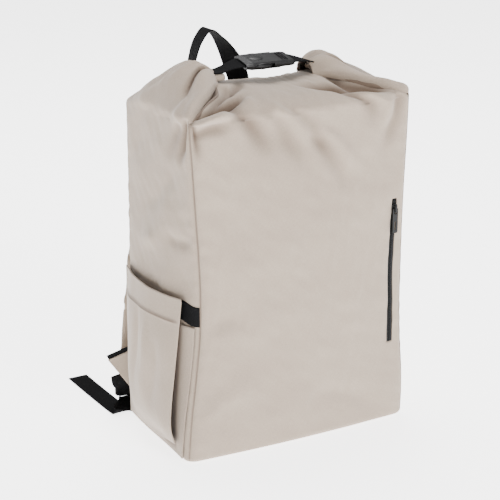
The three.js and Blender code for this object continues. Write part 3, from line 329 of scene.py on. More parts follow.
# Creases in metres from (s0, h0) to (s1, h1), s across a panel and h up it; a negative depth is a valley
CREASES = {
    "front": [
        {"s0": 0.126, "h0": 0.412, "s1": 0.122, "h1": 0.458, "width": 0.0130, "depth": -0.0065},
        {"s0": 0.050, "h0": 0.434, "s1": 0.136, "h1": 0.420, "width": 0.0100, "depth": -0.0075},
        {"s0": -0.126, "h0": 0.412, "s1": -0.124, "h1": 0.452, "width": 0.0090, "depth": -0.0050},
        {"s0": -0.137, "h0": 0.402, "s1": -0.080, "h1": 0.436, "width": 0.0070, "depth": -0.0075},
        {"s0": -0.134, "h0": 0.388, "s1": -0.084, "h1": 0.406, "width": 0.0065, "depth": 0.0040},
        {"s0": -0.134, "h0": 0.374, "s1": -0.092, "h1": 0.386, "width": 0.0060, "depth": -0.0035},
        {"s0": -0.118, "h0": 0.436, "s1": -0.076, "h1": 0.462, "width": 0.0060, "depth": -0.0050},
        {"s0": -0.138, "h0": 0.392, "s1": -0.128, "h1": 0.352, "width": 0.0045, "depth": -0.0045},
        {"s0": -0.108, "h0": 0.426, "s1": -0.040, "h1": 0.352, "width": 0.0090, "depth": -0.0046},
        {"s0": -0.088, "h0": 0.436, "s1": -0.020, "h1": 0.362, "width": 0.0080, "depth": 0.0034},
        {"s0": -0.072, "h0": 0.420, "s1": 0.000, "h1": 0.336, "width": 0.0095, "depth": -0.0040},
        {"s0": -0.050, "h0": 0.420, "s1": 0.018, "h1": 0.352, "width": 0.0080, "depth": 0.0028},
        {"s0": -0.034, "h0": 0.410, "s1": 0.040, "h1": 0.340, "width": 0.0090, "depth": -0.0028},
        {"s0": 0.008, "h0": 0.360, "s1": 0.058, "h1": 0.306, "width": 0.0080, "depth": -0.0036},
        {"s0": 0.022, "h0": 0.368, "s1": 0.070, "h1": 0.318, "width": 0.0075, "depth": 0.0026},
        {"s0": 0.030, "h0": 0.446, "s1": 0.118, "h1": 0.414, "width": 0.0080, "depth": -0.0040},
        {"s0": 0.062, "h0": 0.424, "s1": 0.098, "h1": 0.374, "width": 0.0090, "depth": -0.0040},
        {"s0": 0.084, "h0": 0.412, "s1": 0.118, "h1": 0.362, "width": 0.0090, "depth": 0.0030},
        {"s0": 0.126, "h0": 0.404, "s1": 0.108, "h1": 0.330, "width": 0.0080, "depth": -0.0034},
        {"s0": -0.118, "h0": 0.300, "s1": -0.070, "h1": 0.236, "width": 0.0150, "depth": -0.0018},
        {"s0": -0.130, "h0": 0.150, "s1": -0.060, "h1": 0.176, "width": 0.0140, "depth": -0.0020},
        {"s0": -0.126, "h0": 0.050, "s1": -0.050, "h1": 0.092, "width": 0.0150, "depth": 0.0022},
        {"s0": 0.020, "h0": 0.056, "s1": 0.110, "h1": 0.026, "width": 0.0130, "depth": -0.0022},
    ],
    "left": [
        {"s0": -0.030, "h0": 0.396, "s1": -0.010, "h1": 0.456, "width": 0.0300, "depth": 0.0040},
        {"s0": 0.024, "h0": 0.478, "s1": 0.052, "h1": 0.424, "width": 0.0060, "depth": -0.0055},
        {"s0": 0.078, "h0": 0.404, "s1": 0.074, "h1": 0.474, "width": 0.0120, "depth": 0.0050},
        {"s0": 0.002, "h0": 0.470, "s1": 0.014, "h1": 0.430, "width": 0.0090, "depth": 0.0024},
        {"s0": 0.052, "h0": 0.430, "s1": 0.062, "h1": 0.386, "width": 0.0090, "depth": 0.0030},
        {"s0": -0.020, "h0": 0.450, "s1": -0.040, "h1": 0.400, "width": 0.0120, "depth": -0.0028},
        {"s0": 0.074, "h0": 0.396, "s1": 0.060, "h1": 0.344, "width": 0.0050, "depth": -0.0050},
        {"s0": 0.062, "h0": 0.392, "s1": 0.036, "h1": 0.340, "width": 0.0100, "depth": -0.0026},
        {"s0": 0.046, "h0": 0.330, "s1": -0.020, "h1": 0.270, "width": 0.0130, "depth": -0.0024},
        {"s0": 0.070, "h0": 0.256, "s1": 0.026, "h1": 0.250, "width": 0.0070, "depth": -0.0026},
        {"s0": 0.010, "h0": 0.250, "s1": -0.050, "h1": 0.230, "width": 0.0120, "depth": 0.0022},
    ],
    "right": [
        {"s0": -0.060, "h0": 0.448, "s1": 0.062, "h1": 0.440, "width": 0.0120, "depth": -0.0052},
        {"s0": 0.030, "h0": 0.466, "s1": 0.060, "h1": 0.420, "width": 0.0080, "depth": -0.0040},
        {"s0": 0.078, "h0": 0.400, "s1": 0.074, "h1": 0.470, "width": 0.0110, "depth": 0.0044},
        {"s0": -0.030, "h0": 0.476, "s1": 0.030, "h1": 0.474, "width": 0.0110, "depth": -0.0022},
        {"s0": -0.030, "h0": 0.440, "s1": -0.050, "h1": 0.390, "width": 0.0100, "depth": -0.0030},
        {"s0": 0.060, "h0": 0.380, "s1": -0.010, "h1": 0.310, "width": 0.0120, "depth": -0.0028},
        {"s0": -0.060, "h0": 0.340, "s1": 0.010, "h1": 0.260, "width": 0.0120, "depth": 0.0024},
        {"s0": 0.050, "h0": 0.120, "s1": -0.040, "h1": 0.090, "width": 0.0140, "depth": -0.0022},
    ],
    "back": [
        {"s0": -0.120, "h0": 0.380, "s1": -0.040, "h1": 0.330, "width": 0.0120, "depth": -0.0028},
        {"s0": 0.110, "h0": 0.386, "s1": 0.030, "h1": 0.340, "width": 0.0120, "depth": 0.0022},
        {"s0": -0.100, "h0": 0.060, "s1": 0.020, "h1": 0.090, "width": 0.0140, "depth": -0.0020},
        {"s0": 0.120, "h0": 0.110, "s1": 0.030, "h1": 0.070, "width": 0.0140, "depth": 0.0018},
    ],
    "pocket": [
        {"s0": -0.014, "h0": 0.156, "s1": -0.026, "h1": 0.060, "width": 0.0080, "depth": 0.0026},
        {"s0": 0.006, "h0": 0.150, "s1": 0.002, "h1": 0.050, "width": 0.0090, "depth": -0.0022},
        {"s0": 0.030, "h0": 0.130, "s1": 0.022, "h1": 0.050, "width": 0.0090, "depth": 0.0020},
    ],
}

# The photo's camera: focal length in pixels of its 500 by 500 frame, angles in degrees, distances in metres
PHOTO_SIZE = 500
PHOTO_FOCAL = 1500
SENSOR_WIDTH = 36
CAMERA_AZIMUTH = -29.15
CAMERA_ELEVATION = 17.95
CAMERA_DISTANCE = 1.743
CAMERA_TARGET = (-0.0205, 0.0, 0.210)

# The studio: metres, watts and shares of white
FLOOR_REACH = 40
FLOOR_DROP = 0.0003
FLOOR_COLOR = (0.93, 0.93, 0.93)
FLOOR_GLOW = 3.5
SKY_STRENGTH = 0.4
LIGHTS = (
    {"name": "overhead", "place": (0.2, 0.9, 2.6), "aim": (0, 0, 0.1), "size": 1.5, "power": 95},
    {"name": "key", "place": (0.5, -2.7, 1.5), "aim": (0, 0, 0.25), "size": 0.9, "power": 76},
)


# Curves and tables
def smooth(t):
    s = np.clip(t, 0, 1)
    return s * s * (3 - 2 * s)


def column(rows, name, t):
    """The value of a table's column at t, from 0 at the first row to 1 at the last, on a smooth curve."""
    values = np.array([float(row[name]) for row in rows])
    place = np.clip(t, 0, 1) * (len(rows) - 1)
    i = np.minimum(len(rows) - 2, np.floor(place).astype(int))
    f = place - i
    a, b, c, d = (values[np.clip(i + k, 0, len(rows) - 1)] for k in (-1, 0, 1, 2))
    return b + 0.5 * f * (c - a + f * (2 * a - 5 * b + 4 * c - d + f * (3 * (b - c) + d - a)))


def level_way(degrees):
    turn = math.radians(degrees)
    return np.array([math.cos(turn), math.sin(turn), 0.0])


def waves(s, h, seed, shortest, longest, count=14):
    """Smooth seeded unevenness over the cloth, about -1 to 1, with wavelengths between the two lengths."""
    rng = np.random.default_rng(seed)
    total = np.zeros(np.broadcast(s, h).shape)
    for _ in range(count):
        length = rng.uniform(shortest, longest)
        way = rng.uniform(0, math.pi)
        phase = rng.uniform(0, 2 * math.pi)
        bend = 0.6 * np.sin(2 * math.pi * (s * math.sin(way) + h * math.cos(way)) / (2.3 * longest) + phase)
        place = (s * math.cos(way) + h * math.sin(way)) / length
        total += np.sin(2 * math.pi * place + phase + bend)
    return total / math.sqrt(count * 1.4)


def crease_height(rows, s, h):
    """The height of a panel's creases over its unrolled cloth."""
    total = np.zeros(np.broadcast(s, h).shape)
    for row in rows:
        ds, dh = row["s1"] - row["s0"], row["h1"] - row["h0"]
        length = math.hypot(ds, dh)
        along = ((s - row["s0"]) * ds + (h - row["h0"]) * dh) / length**2
        bow = 0.25 * row["width"] * np.sin(math.pi * along * 1.5)
        off = ((s - row["s0"]) * dh - (h - row["h0"]) * ds) / length + bow
        width = row["width"] * (0.7 + 0.6 * np.clip(along, 0, 1))
        ends = smooth((along + 0.15) / 0.4) * smooth((1.2 - along) / 0.6)
        total += CREASE_DEPTH * row["depth"] * ends * np.exp(-((off / width) ** 2))
    return total


# Surfaces of the bag, each from arrays of u and v to an array of places
def level_at(v, top_rows):
    arc = np.clip(v, 0, 1) * math.pi / 2
    inset = np.where(v < 1, BASE_RADIUS * (1 - np.sin(arc)), 0.0)
    straight = BASE_RADIUS + (SHOULDER_HEIGHT - BASE_RADIUS) * np.clip(v - 1, 0, 1)
    z = np.where(v < 1, BASE_RADIUS * (1 - np.cos(arc)), straight)
    height = z / SHOULDER_HEIGHT
    level = SimpleNamespace(
        z=z,
        half_width=HALF_WIDTH - inset,
        half_depth=HALF_DEPTH - inset,
        corner=np.full_like(z, CORNER_RADIUS),
        front=FRONT_BULGE * column(BODY_LEVELS, "front", height),
        side=SIDE_BULGE * column(BODY_LEVELS, "side", height),
        back=BACK_BULGE * column(BODY_LEVELS, "back", height),
        left=SEAM_SWAY * column(BODY_LEVELS, "left", height),
        right=SEAM_SWAY * column(BODY_LEVELS, "right", height),
        drop=CORNER_DROP * smooth(2 * height - 1),
        lift=CORNER_LIFT * smooth(2 * height - 1),
        forward=BASE_FORWARD * (1 - smooth(3 * height)),
    )
    if top_rows:
        over = v > 2
        t = v - 2
        fading = np.where(over, 1 - smooth(t / TOP_FADE), 1.0)
        level.z = np.where(over, SHOULDER_HEIGHT + RIDGE_RISE * column(top_rows, "rise", t), level.z)
        level.half_width = np.where(over, HALF_WIDTH * column(top_rows, "width", t), level.half_width)
        level.half_depth = np.where(over, HALF_DEPTH * column(top_rows, "depth", t), level.half_depth)
        level.corner = np.where(over, HALF_WIDTH * column(top_rows, "corner", t), level.corner)
        for name in ("front", "side", "back", "right", "drop", "lift"):
            setattr(level, name, getattr(level, name) * fading)
        level.left = level.left * np.where(over, 1 - smooth(t / EAR_BLEND), 1.0)
    return level


def stuffed(x, y, level):
    """Stuffed cloth stands out in the middle of each panel, and the front seams sway."""
    fx = x / level.half_width
    fy = y / np.maximum(0.001, level.half_depth)
    middle = np.maximum(0, 1 - fx * fx)
    at_the_front = np.minimum(1, np.maximum(0, -fy)) ** 2
    at_the_back = np.minimum(1, np.maximum(0, fy)) ** 2
    sway = level.right * np.maximum(0, fx) ** 3 - level.left * np.maximum(0, -fx) ** 3
    side = np.sign(x) * level.side * np.maximum(0, 1 - fy * fy) * fx * fx
    px = x + side + sway * at_the_front
    py = y - (level.forward + level.front * middle) * at_the_front + level.back * middle * at_the_back
    pz = level.z - level.drop * fx * fx * at_the_back + level.lift * np.maximum(0, fx) ** 2 * at_the_front
    return np.stack([px, py, pz], axis=-1)


def rounded_side(u, half, depth, radius):
    flat = 1 - np.minimum(0.5, radius / half)
    s = np.minimum(np.abs(u), 1.2)
    angle = (s - flat) / (1 - flat) * math.pi / 4
    straight = s <= flat
    round_the_corner = np.sign(u) * (half - radius + radius * np.sin(angle))
    along = np.where(straight, u / flat * (half - radius), round_the_corner)
    return along, np.where(straight, depth, depth - radius * (1 - np.cos(angle)))


def front_point(u, v):
    level = level_at(v, FRONT_TOP)
    x, y = rounded_side(u, level.half_width, level.half_depth, level.corner)
    on_the_roll = smooth((v - 2.55) / 0.3)
    level.z = level.z + RIDGE_LIFT * on_the_roll * smooth(np.abs(x) / LEFT_EAR_TIP - 0.25)
    return stuffed(x, -y, level)


def back_point(u, v):
    level = level_at(v, BACK_TOP)
    x, y = rounded_side(-u, level.half_width, level.half_depth, level.corner)
    return stuffed(x, y, level)


def side_point(side, tip):
    """A side panel, u from the back seam to the front seam, its edges curling under where it is an ear."""

    def surface(u, v):
        flat_u = np.clip(u, -1, 1)
        level = level_at(v, None)
        y, x = rounded_side(-flat_u, level.half_depth, level.half_width, level.corner)
        wall = stuffed(side * x, y, level)
        t = np.clip(v - 2, 0, 1)
        crest = tip + (HALF_WIDTH - tip) * column(EAR_LEVELS, "reach", t)
        drop = EAR_RISE * column(EAR_LEVELS, "drop", t)
        rise = EAR_RISE * column(EAR_LEVELS, "rise", t)
        spread = HALF_DEPTH * column(EAR_LEVELS, "spread", t)
        back = HALF_DEPTH * column(EAR_LEVELS, "back", t)
        raised = (1 - smooth(t / TOP_FADE)) * (wall[..., 2] - SHOULDER_HEIGHT)
        ear = np.stack(
            [
                side * (crest + level.side * (1 - t) * (1 - flat_u * flat_u)),
                back - spread * flat_u,
                SHOULDER_HEIGHT + rise + raised - drop * np.abs(flat_u) ** EAR_DROOP,
            ],
            axis=-1,
        )
        lifted = wall.copy()
        lifted[..., 2] = SHOULDER_HEIGHT + rise + raised
        share = smooth(t / EAR_BLEND)[..., None]
        folded = lifted + (ear - lifted) * share
        place = np.where((v > 2)[..., None], folded, wall)
        tucked = np.clip((np.abs(u) - 1) / LIP, 0, 1)
        beside = np.where((u > 0)[..., None], front_point(side + 0 * v, v), back_point(-side + 0 * v, v))
        under = LIP_DEPTH * smooth(t / 0.25) * 4 * tucked * (1 - tucked)
        place = place + (beside - place) * (tucked**1.5)[..., None]
        place[..., 2] -= under
        place[..., 1] -= np.sign(u) * LIP_PULL * under
        return place

    return surface


left_side = side_point(-1, LEFT_EAR_TIP)
right_side = side_point(1, RIGHT_EAR_TIP)


def level_for(z):
    return np.clip(1 + (z - BASE_RADIUS) / (SHOULDER_HEIGHT - BASE_RADIUS), 1, 2)


def front_surface(x, z):
    level = level_at(level_for(z), FRONT_TOP)
    return stuffed(x, -level.half_depth, level)[..., 1]


def back_surface(x, z):
    z = np.asarray(z, float)
    level = level_at(level_for(z), BACK_TOP)
    return stuffed(np.asarray(x, float), level.half_depth, level)[..., 1]


def left_surface(y, z):
    level = level_at(level_for(np.maximum(z, BASE_RADIUS)), None)
    return stuffed(-level.half_width, y, level)[..., 0]


def pocket_point(u, v):
    """The side pocket: u from the back seam to the front seam, v from its bottom to its hem."""
    t = (u + 1) / 2
    in_the_main = 1 - smooth((t - FOLD_AT - 0.002) / 0.03)
    top = POCKET_HEIGHT - (1 - in_the_main) * (POCKET_HEM + BAND_DROP)
    z = POCKET_BOTTOM + (top - POCKET_BOTTOM) * v
    height = (z - POCKET_BOTTOM) / (POCKET_HEIGHT - POCKET_BOTTOM)
    fullness = column(POCKET_LEVELS, "fullness", height)
    first, last = POCKET_PATH[0]["along"], POCKET_PATH[-1]["along"]
    unfolded = first + (last - first) * t
    folded = column(POCKET_PATH, "along", t)
    y = HALF_DEPTH * (unfolded + (folded - unfolded) * np.minimum(1, fullness / FOLD_FULLNESS))
    out = POCKET_BULGE * column(POCKET_PATH, "out", t) * fullness
    clearance = POCKET_CLOTH + 2 * FIT_GAP + HEM_STANDS_OFF * in_the_main * v
    return np.stack([left_surface(y, z) - clearance - out, y, z], axis=-1)


# Meshes
def normals_of(surface, u, v, step=1e-3):
    along_u = surface(u + step, v) - surface(u - step, v)
    along_v = surface(u, v + step) - surface(u, v - step)
    normal = np.cross(along_u, along_v)
    return normal / (np.linalg.norm(normal, axis=-1, keepdims=True) + 1e-12)


def new_object(name, mesh):
    piece = bpy.data.objects.new(name, mesh)
    bpy.context.scene.collection.objects.link(piece)
    return piece


def finished_mesh(bm, name):
    for face in bm.faces:
        face.smooth = True
    mesh = bpy.data.meshes.new(name)
    bm.to_mesh(mesh)
    bm.free()
    return mesh


def mesh_from(bm, name):
    bmesh.ops.recalc_face_normals(bm, faces=bm.faces)
    return finished_mesh(bm, name)


def grid_mesh(name, places, cloth, skip=None, outward=None, painted_shade=None):
    """A grid of places with UVs in metres of cloth; skip tells the faces left out, and the last argument
    gives the painted shade of folds.
    """
    rows, columns = places.shape[:2]
    bm = bmesh.new()
    bmesh.ops.create_grid(bm, x_segments=columns - 1, y_segments=rows - 1, size=1)
    bm.verts.index_update()
    layer = bm.loops.layers.uv.new("cloth")
    # Each vertex keeps its painted shade, which the canvas material darkens its colour by
    shaded = bm.verts.layers.float.new("painted_shade")
    flat_places = places.reshape(-1, 3)
    flat_cloth = cloth.reshape(-1, 2)
    flat_painted_shade = np.zeros(rows * columns) if painted_shade is None else painted_shade.reshape(-1)
    for vert in bm.verts:
        vert.co = Vector(flat_places[vert.index])
        vert[shaded] = float(flat_painted_shade[vert.index])
    gone = []
    for face in bm.faces:
        for loop in face.loops:
            loop[layer].uv = flat_cloth[loop.vert.index]
        if skip is not None:
            lowest = min(vert.index for vert in face.verts)
            if skip(lowest // columns, lowest % columns):
                gone.append(face)
    if gone:
        bmesh.ops.delete(bm, geom=gone, context="FACES")
    bm.normal_update()
    if outward is not None:
        total = sum(face.normal.dot(Vector(outward(face.calc_center_median()))) for face in bm.faces)
        if total < 0:
            bmesh.ops.reverse_faces(bm, faces=bm.faces[:])
    return finished_mesh(bm, name)


def add_thickness(piece, thickness, offset=-1.0):
    wall = piece.modifiers.new("wall", "SOLIDIFY")
    wall.thickness = thickness
    wall.offset = offset
    wall.use_rim = True


def from_the_middle(middle):
    return lambda place: (place[0] - middle[0], place[1] - middle[1], place[2] - middle[2])


def dress(piece, body, slot, material, *nodes):
    """Gives a piece its material and its body, and hides the frame's nodes that it stands in for; slot is not
    used.
    """
    piece.data.materials.clear()
    piece.data.materials.append(material)
    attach(piece, body)
    if nodes:
        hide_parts(*nodes)


def curve_through(points, steps):
    """A centripetal Catmull-Rom curve through points, sampled evenly by its rows."""
    points = np.array(points, float)
    before = 2 * points[0] - points[1]
    after = 2 * points[-1] - points[-2]
    knots = np.vstack([before, points, after])
    places = np.linspace(0, len(points) - 1, steps)
    result = []
    for place in places:
        i = min(len(points) - 2, int(place))
        f = place - i
        p0, p1, p2, p3 = knots[i : i + 4]
        dt = [max(1e-6, np.linalg.norm(b - a) ** 0.5) for a, b in ((p0, p1), (p1, p2), (p2, p3))]
        t1 = ((p1 - p0) / dt[0] - (p2 - p0) / (dt[0] + dt[1]) + (p2 - p1) / dt[1]) * dt[1]
        t2 = ((p2 - p1) / dt[1] - (p3 - p1) / (dt[1] + dt[2]) + (p3 - p2) / dt[2]) * dt[1]
        c2 = -3 * p1 + 3 * p2 - 2 * t1 - t2
        c3 = 2 * p1 - 2 * p2 + t1 + t2
        result.append(p1 + t1 * f + c2 * f * f + c3 * f**3)
    return np.array(result)


def ribbon_frames(rows, steps):
    """Frames along a smooth curve through rows of (place, across)."""
    at = curve_through([row[0] for row in rows], steps)
    along = np.gradient(at, axis=0)
    along /= np.linalg.norm(along, axis=1, keepdims=True)
    frames = []
    for k in range(steps):
        place = k / (steps - 1) * (len(rows) - 1)
        i = min(len(rows) - 2, int(place))
        across = rows[i][1] + (rows[i + 1][1] - rows[i][1]) * (place - i)
        across = across - along[k] * across.dot(along[k])
        across /= np.linalg.norm(across)
        frames.append((at[k], across, np.cross(along[k], across)))
    return frames


def lengths_along(points):
    return np.concatenate([[0], np.cumsum(np.linalg.norm(np.diff(points, axis=0), axis=1))])


def swept_mesh(name, outline, frames, scale=None):
    """A closed outline of (x, y) carried along frames, capped, with UVs in metres round and along it."""
    bm = bmesh.new()
    layer = bm.loops.layers.uv.new("cloth")
    outline = np.array(outline, float)
    rings = []
    for k, (at, across, up) in enumerate(frames):
        share = scale[k] if scale is not None else 1.0
        rings.append([bm.verts.new(at + across * x * share + up * y) for x, y in outline])
    around = lengths_along(np.vstack([outline, outline[:1]]))
    along = lengths_along(np.array([row[0] for row in frames]))
    count = len(outline)
    for k in range(len(frames) - 1):
        for i in range(count):
            j = (i + 1) % count
            face = bm.faces.new((rings[k][i], rings[k][j], rings[k + 1][j], rings[k + 1][i]))
            corners = ((i, k), (i + 1, k), (i + 1, k + 1), (i, k + 1))
            for loop, (a, b) in zip(face.loops, corners):
                loop[layer].uv = (around[a], along[b])
    for ring in (rings[0], rings[-1]):
        bm.faces.new(ring)
    return mesh_from(bm, name)


def webbing_outline(width, thickness):
    """A flat woven section with rounded, slightly thicker edges."""
    half, thick = width / 2, thickness / 2
    shares = [(-1.0, 0.0), (-0.985, 0.7), (-0.93, 1.0), (-0.8, 0.82), (0.8, 0.82), (0.93, 1.0), (0.985, 0.7)]
    top = [(x * half, y * thick) for x, y in shares]
    bottom = [(-x * half, -y * thick) for x, y in shares]
    return top + bottom


def webbing(name, rows, steps, width=WEBBING_WIDTH, thickness=WEBBING):
    return new_object(name, swept_mesh(name, webbing_outline(width, thickness), ribbon_frames(rows, steps)))


# Materials
def group_of(name, inputs, outputs):
    group = bpy.data.node_groups.new(name, "ShaderNodeTree")
    for label, kind, default in inputs:
        socket = group.interface.new_socket(label, in_out="INPUT", socket_type=kind)
        if default is not None:
            socket.default_value = default
    for label, kind in outputs:
        group.interface.new_socket(label, in_out="OUTPUT", socket_type=kind)
    return group, group.nodes.new("NodeGroupInput"), group.nodes.new("NodeGroupOutput")


def node(tree, kind, **settings):
    made = tree.nodes.new(kind)
    for key, value in settings.items():
        setattr(made, key, value)
    return made


def math_node(tree, operation, first, second=None):
    made = node(tree, "ShaderNodeMath", operation=operation)
    for socket, value in zip(made.inputs, (first, second)):
        if value is None:
            continue
        if isinstance(value, (int, float)):
            socket.default_value = value
        else:
            tree.links.new(value, socket)
    return made.outputs[0]


def noise(tree, places, scale, detail=2):
    made = node(tree, "ShaderNodeTexNoise")
    made.inputs["Scale"].default_value = scale
    made.inputs["Detail"].default_value = detail
    tree.links.new(places, made.inputs["Vector"])
    return made.outputs[0]


def wave_along(tree, place, turn):
    return math_node(tree, "SINE", math_node(tree, "MULTIPLY", place, turn))


def weave_group():
    """A plain weave in cloth metres: thread height, and how light each thread is."""
    group, entry, leave = group_of(
        "Weave",
        [("Cloth", "NodeSocketVector", None), ("Thread", "NodeSocketFloat", THREAD)],
        [("Height", "NodeSocketFloat"), ("Shade", "NodeSocketFloat")],
    )
    split = node(group, "ShaderNodeSeparateXYZ")
    group.links.new(entry.outputs["Cloth"], split.inputs[0])
    turn = math_node(group, "DIVIDE", math.pi, entry.outputs["Thread"])
    x = wave_along(group, split.outputs[0], turn)
    y = wave_along(group, split.outputs[1], turn)
    over = math_node(group, "MULTIPLY", x, y)
    group.links.new(math_node(group, "MULTIPLY_ADD", over, 0.5), leave.inputs["Height"])
    shades = []
    for stretch in ((2200, 260, 1), (260, 2200, 1)):
        spread = node(group, "ShaderNodeVectorMath", operation="MULTIPLY")
        group.links.new(entry.outputs["Cloth"], spread.inputs[0])
        spread.inputs[1].default_value = stretch
        shades.append(noise(group, spread.outputs[0], 1))
    both = math_node(group, "ADD", shades[0], shades[1])
    group.links.new(math_node(group, "MULTIPLY", both, 0.5), leave.inputs["Shade"])
    return group


def ribs_group():
    """Webbing ribs in cloth metres: close ridges along the strip, broken into slanted picks."""
    group, entry, leave = group_of(
        "Ribs",
        [("Cloth", "NodeSocketVector", None), ("Rib", "NodeSocketFloat", RIB)],
        [("Height", "NodeSocketFloat")],
    )
    split = node(group, "ShaderNodeSeparateXYZ")
    group.links.new(entry.outputs["Cloth"], split.inputs[0])
    turn = math_node(group, "DIVIDE", math.pi, entry.outputs["Rib"])
    across = math_node(group, "ABSOLUTE", wave_along(group, split.outputs[0], turn))
    lean = math_node(group, "MULTIPLY_ADD", split.outputs[0], 0.6)
    lean.node.inputs[2].default_value = 0
    slant = math_node(group, "ADD", split.outputs[1], lean)
    along = math_node(group, "ABSOLUTE", wave_along(group, slant, turn))
    group.links.new(math_node(group, "ADD", across, along), leave.inputs["Height"])
    return group


def principled(name, color, roughness):
    material = bpy.data.materials.new(name)
    material.use_nodes = True
    tree = material.node_tree
    shader = tree.nodes["Principled BSDF"]
    shader.inputs["Base Color"].default_value = (*color, 1)
    shader.inputs["Roughness"].default_value = roughness
    return material, tree, shader


def bumped(tree, shader, height, distance, strength=1.0, under=None):
    bump = node(tree, "ShaderNodeBump")
    bump.inputs["Strength"].default_value = strength
    bump.inputs["Distance"].default_value = distance
    tree.links.new(height, bump.inputs["Height"])
    if under is not None:
        tree.links.new(under, bump.inputs["Normal"])
    if shader is not None:
        tree.links.new(bump.outputs[0], shader.inputs["Normal"])
    return bump.outputs[0]


def color_ramp(tree, value, low, high, dark, light):
    ramp = node(tree, "ShaderNodeValToRGB")
    ramp.color_ramp.elements[0].position = low
    ramp.color_ramp.elements[0].color = (*dark, 1)
    ramp.color_ramp.elements[1].position = high
    ramp.color_ramp.elements[1].color = (*light, 1)
    tree.links.new(value, ramp.inputs[0])
    return ramp.outputs[0]


def multiplied(tree, first, second):
    mix = node(tree, "ShaderNodeMix", data_type="RGBA", blend_type="MULTIPLY")
    mix.inputs["Factor"].default_value = 1
    tree.links.new(first, mix.inputs["A"])
    tree.links.new(second, mix.inputs["B"])
    return mix.outputs["Result"]


def woven_cloth(tree, group):
    """A cloth pattern of a shared group, laid on the piece's own cloth coordinates."""
    cloth = node(tree, "ShaderNodeUVMap", uv_map="cloth")
    woven = node(tree, "ShaderNodeGroup", node_tree=group)
    tree.links.new(cloth.outputs[0], woven.inputs["Cloth"])
    return woven


def canvas_material(weave, color):
    material, tree, shader = principled("canvas", color, 0.88)
    shader.inputs["Specular IOR Level"].default_value = 0.25
    shader.inputs["Sheen Weight"].default_value = 0.25
    shader.inputs["Sheen Roughness"].default_value = 0.5
    color = tuple(c * share for c, share in zip(color, CANVAS_TINT))
    woven = woven_cloth(tree, weave)
    woven.inputs["Thread"].default_value = THREAD
    dark = tuple(c * 0.88 for c in color)
    light = tuple(min(1, c * 1.09) for c in color)
    threads = color_ramp(tree, woven.outputs["Shade"], 0.36, 0.64, dark, light)
    place = node(tree, "ShaderNodeTexCoord").outputs["Object"]
    wash = color_ramp(tree, noise(tree, place, 9, 3), 0.3, 0.7, (0.95, 0.945, 0.94), (1.0, 1.0, 1.0))
    # Painted shade: each vertex's mask darkens the canvas in its folds, seams, tucks and the pocket's pleat
    painted_shade_mask = node(tree, "ShaderNodeAttribute", attribute_name="painted_shade")
    deep = color_ramp(tree, painted_shade_mask.outputs["Fac"], 0.0, 1.0, (1.0, 1.0, 1.0), HOLLOW_SHADE)
    shaded = multiplied(tree, multiplied(tree, threads, wash), deep)
    tree.links.new(shaded, shader.inputs["Base Color"])
    soft = bumped(tree, None, noise(tree, place, 60, 4), 0.0012, 0.5)
    bumped(tree, shader, woven.outputs["Height"], 0.00016, 0.6, under=soft)
    return material


def webbing_material(ribs, color):
    material, tree, shader = principled("webbing", color, 0.85)
    shader.inputs["Specular IOR Level"].default_value = 0.07
    woven = woven_cloth(tree, ribs)
    dark = tuple(c * 0.1 for c in color)
    light = tuple(c * 0.6 for c in color)
    # Painted shade: the colour follows the ribs' height, darker in the grooves between them and lighter on
    # their crests
    threads = color_ramp(tree, woven.outputs["Height"], 0.3, 1.7, dark, light)
    tree.links.new(threads, shader.inputs["Base Color"])
    bumped(tree, shader, woven.outputs["Height"], 0.0004, 0.8)
    return material


def plastic_material(color):
    material, tree, shader = principled("plastic", tuple(c * 0.3 for c in color), 0.38)
    shader.inputs["Specular IOR Level"].default_value = 0.22
    place = node(tree, "ShaderNodeTexCoord").outputs["Object"]
    span = node(tree, "ShaderNodeMapRange")
    span.inputs["To Min"].default_value = 0.3
    span.inputs["To Max"].default_value = 0.48
    tree.links.new(noise(tree, place, 120), span.inputs["Value"])
    tree.links.new(span.outputs[0], shader.inputs["Roughness"])
    bumped(tree, shader, noise(tree, place, 1800), 0.00006, 0.5)
    return material


def zip_material(weave, color):
    material, tree, shader = principled("zip", color, 0.55)
    shader.inputs["Specular IOR Level"].default_value = 0.15
    woven = woven_cloth(tree, weave)
    woven.inputs["Thread"].default_value = ZIP_THREAD
    dark = tuple(c * 0.4 for c in color)
    threads = color_ramp(tree, woven.outputs["Shade"], 0.3, 0.7, dark, color)
    tree.links.new(threads, shader.inputs["Base Color"])
    bumped(tree, shader, woven.outputs["Height"], 0.0001, 0.6)
    return material


MATERIALS = {}


def material(name):
    """The shared materials, made once, with the record's colours."""
    if not MATERIALS:
        colors = {row["slot"]: row["base_color"] for row in frame["record"]["materials"]}
        weave = weave_group()
        MATERIALS["canvas"] = canvas_material(weave, colors["canvas"])
        MATERIALS["webbing"] = webbing_material(ribs_group(), colors["webbing"])
        MATERIALS["plastic"] = plastic_material(colors["plastic"])
        MATERIALS["zip"] = zip_material(weave, colors["zip"])
        MATERIALS["thread"] = principled("thread", tuple(c * 0.35 for c in colors["canvas"]), 0.7)[0]
    return MATERIALS[name]


# Canvas panels
def zip_centre(z):
    share = np.clip((z - ZIP_BOTTOM) / ZIP_LENGTH, 0, 1)
    return ZIP_OFFSET - ZIP_WANDER * np.sin(math.pi * share) ** 2


def pucker_along(h, seed):
    """How a seam ripples up the bag, more in some stretches than in others."""
    ripple = np.sin(2 * math.pi * h / PUCKER_LENGTH + 3.5 * np.sin(h / 0.037 + seed) + seed)
    return ripple * smooth(0.5 + 1.2 * np.sin(h / 0.023 + 2 * seed) * np.sin(h / 0.061 + seed))


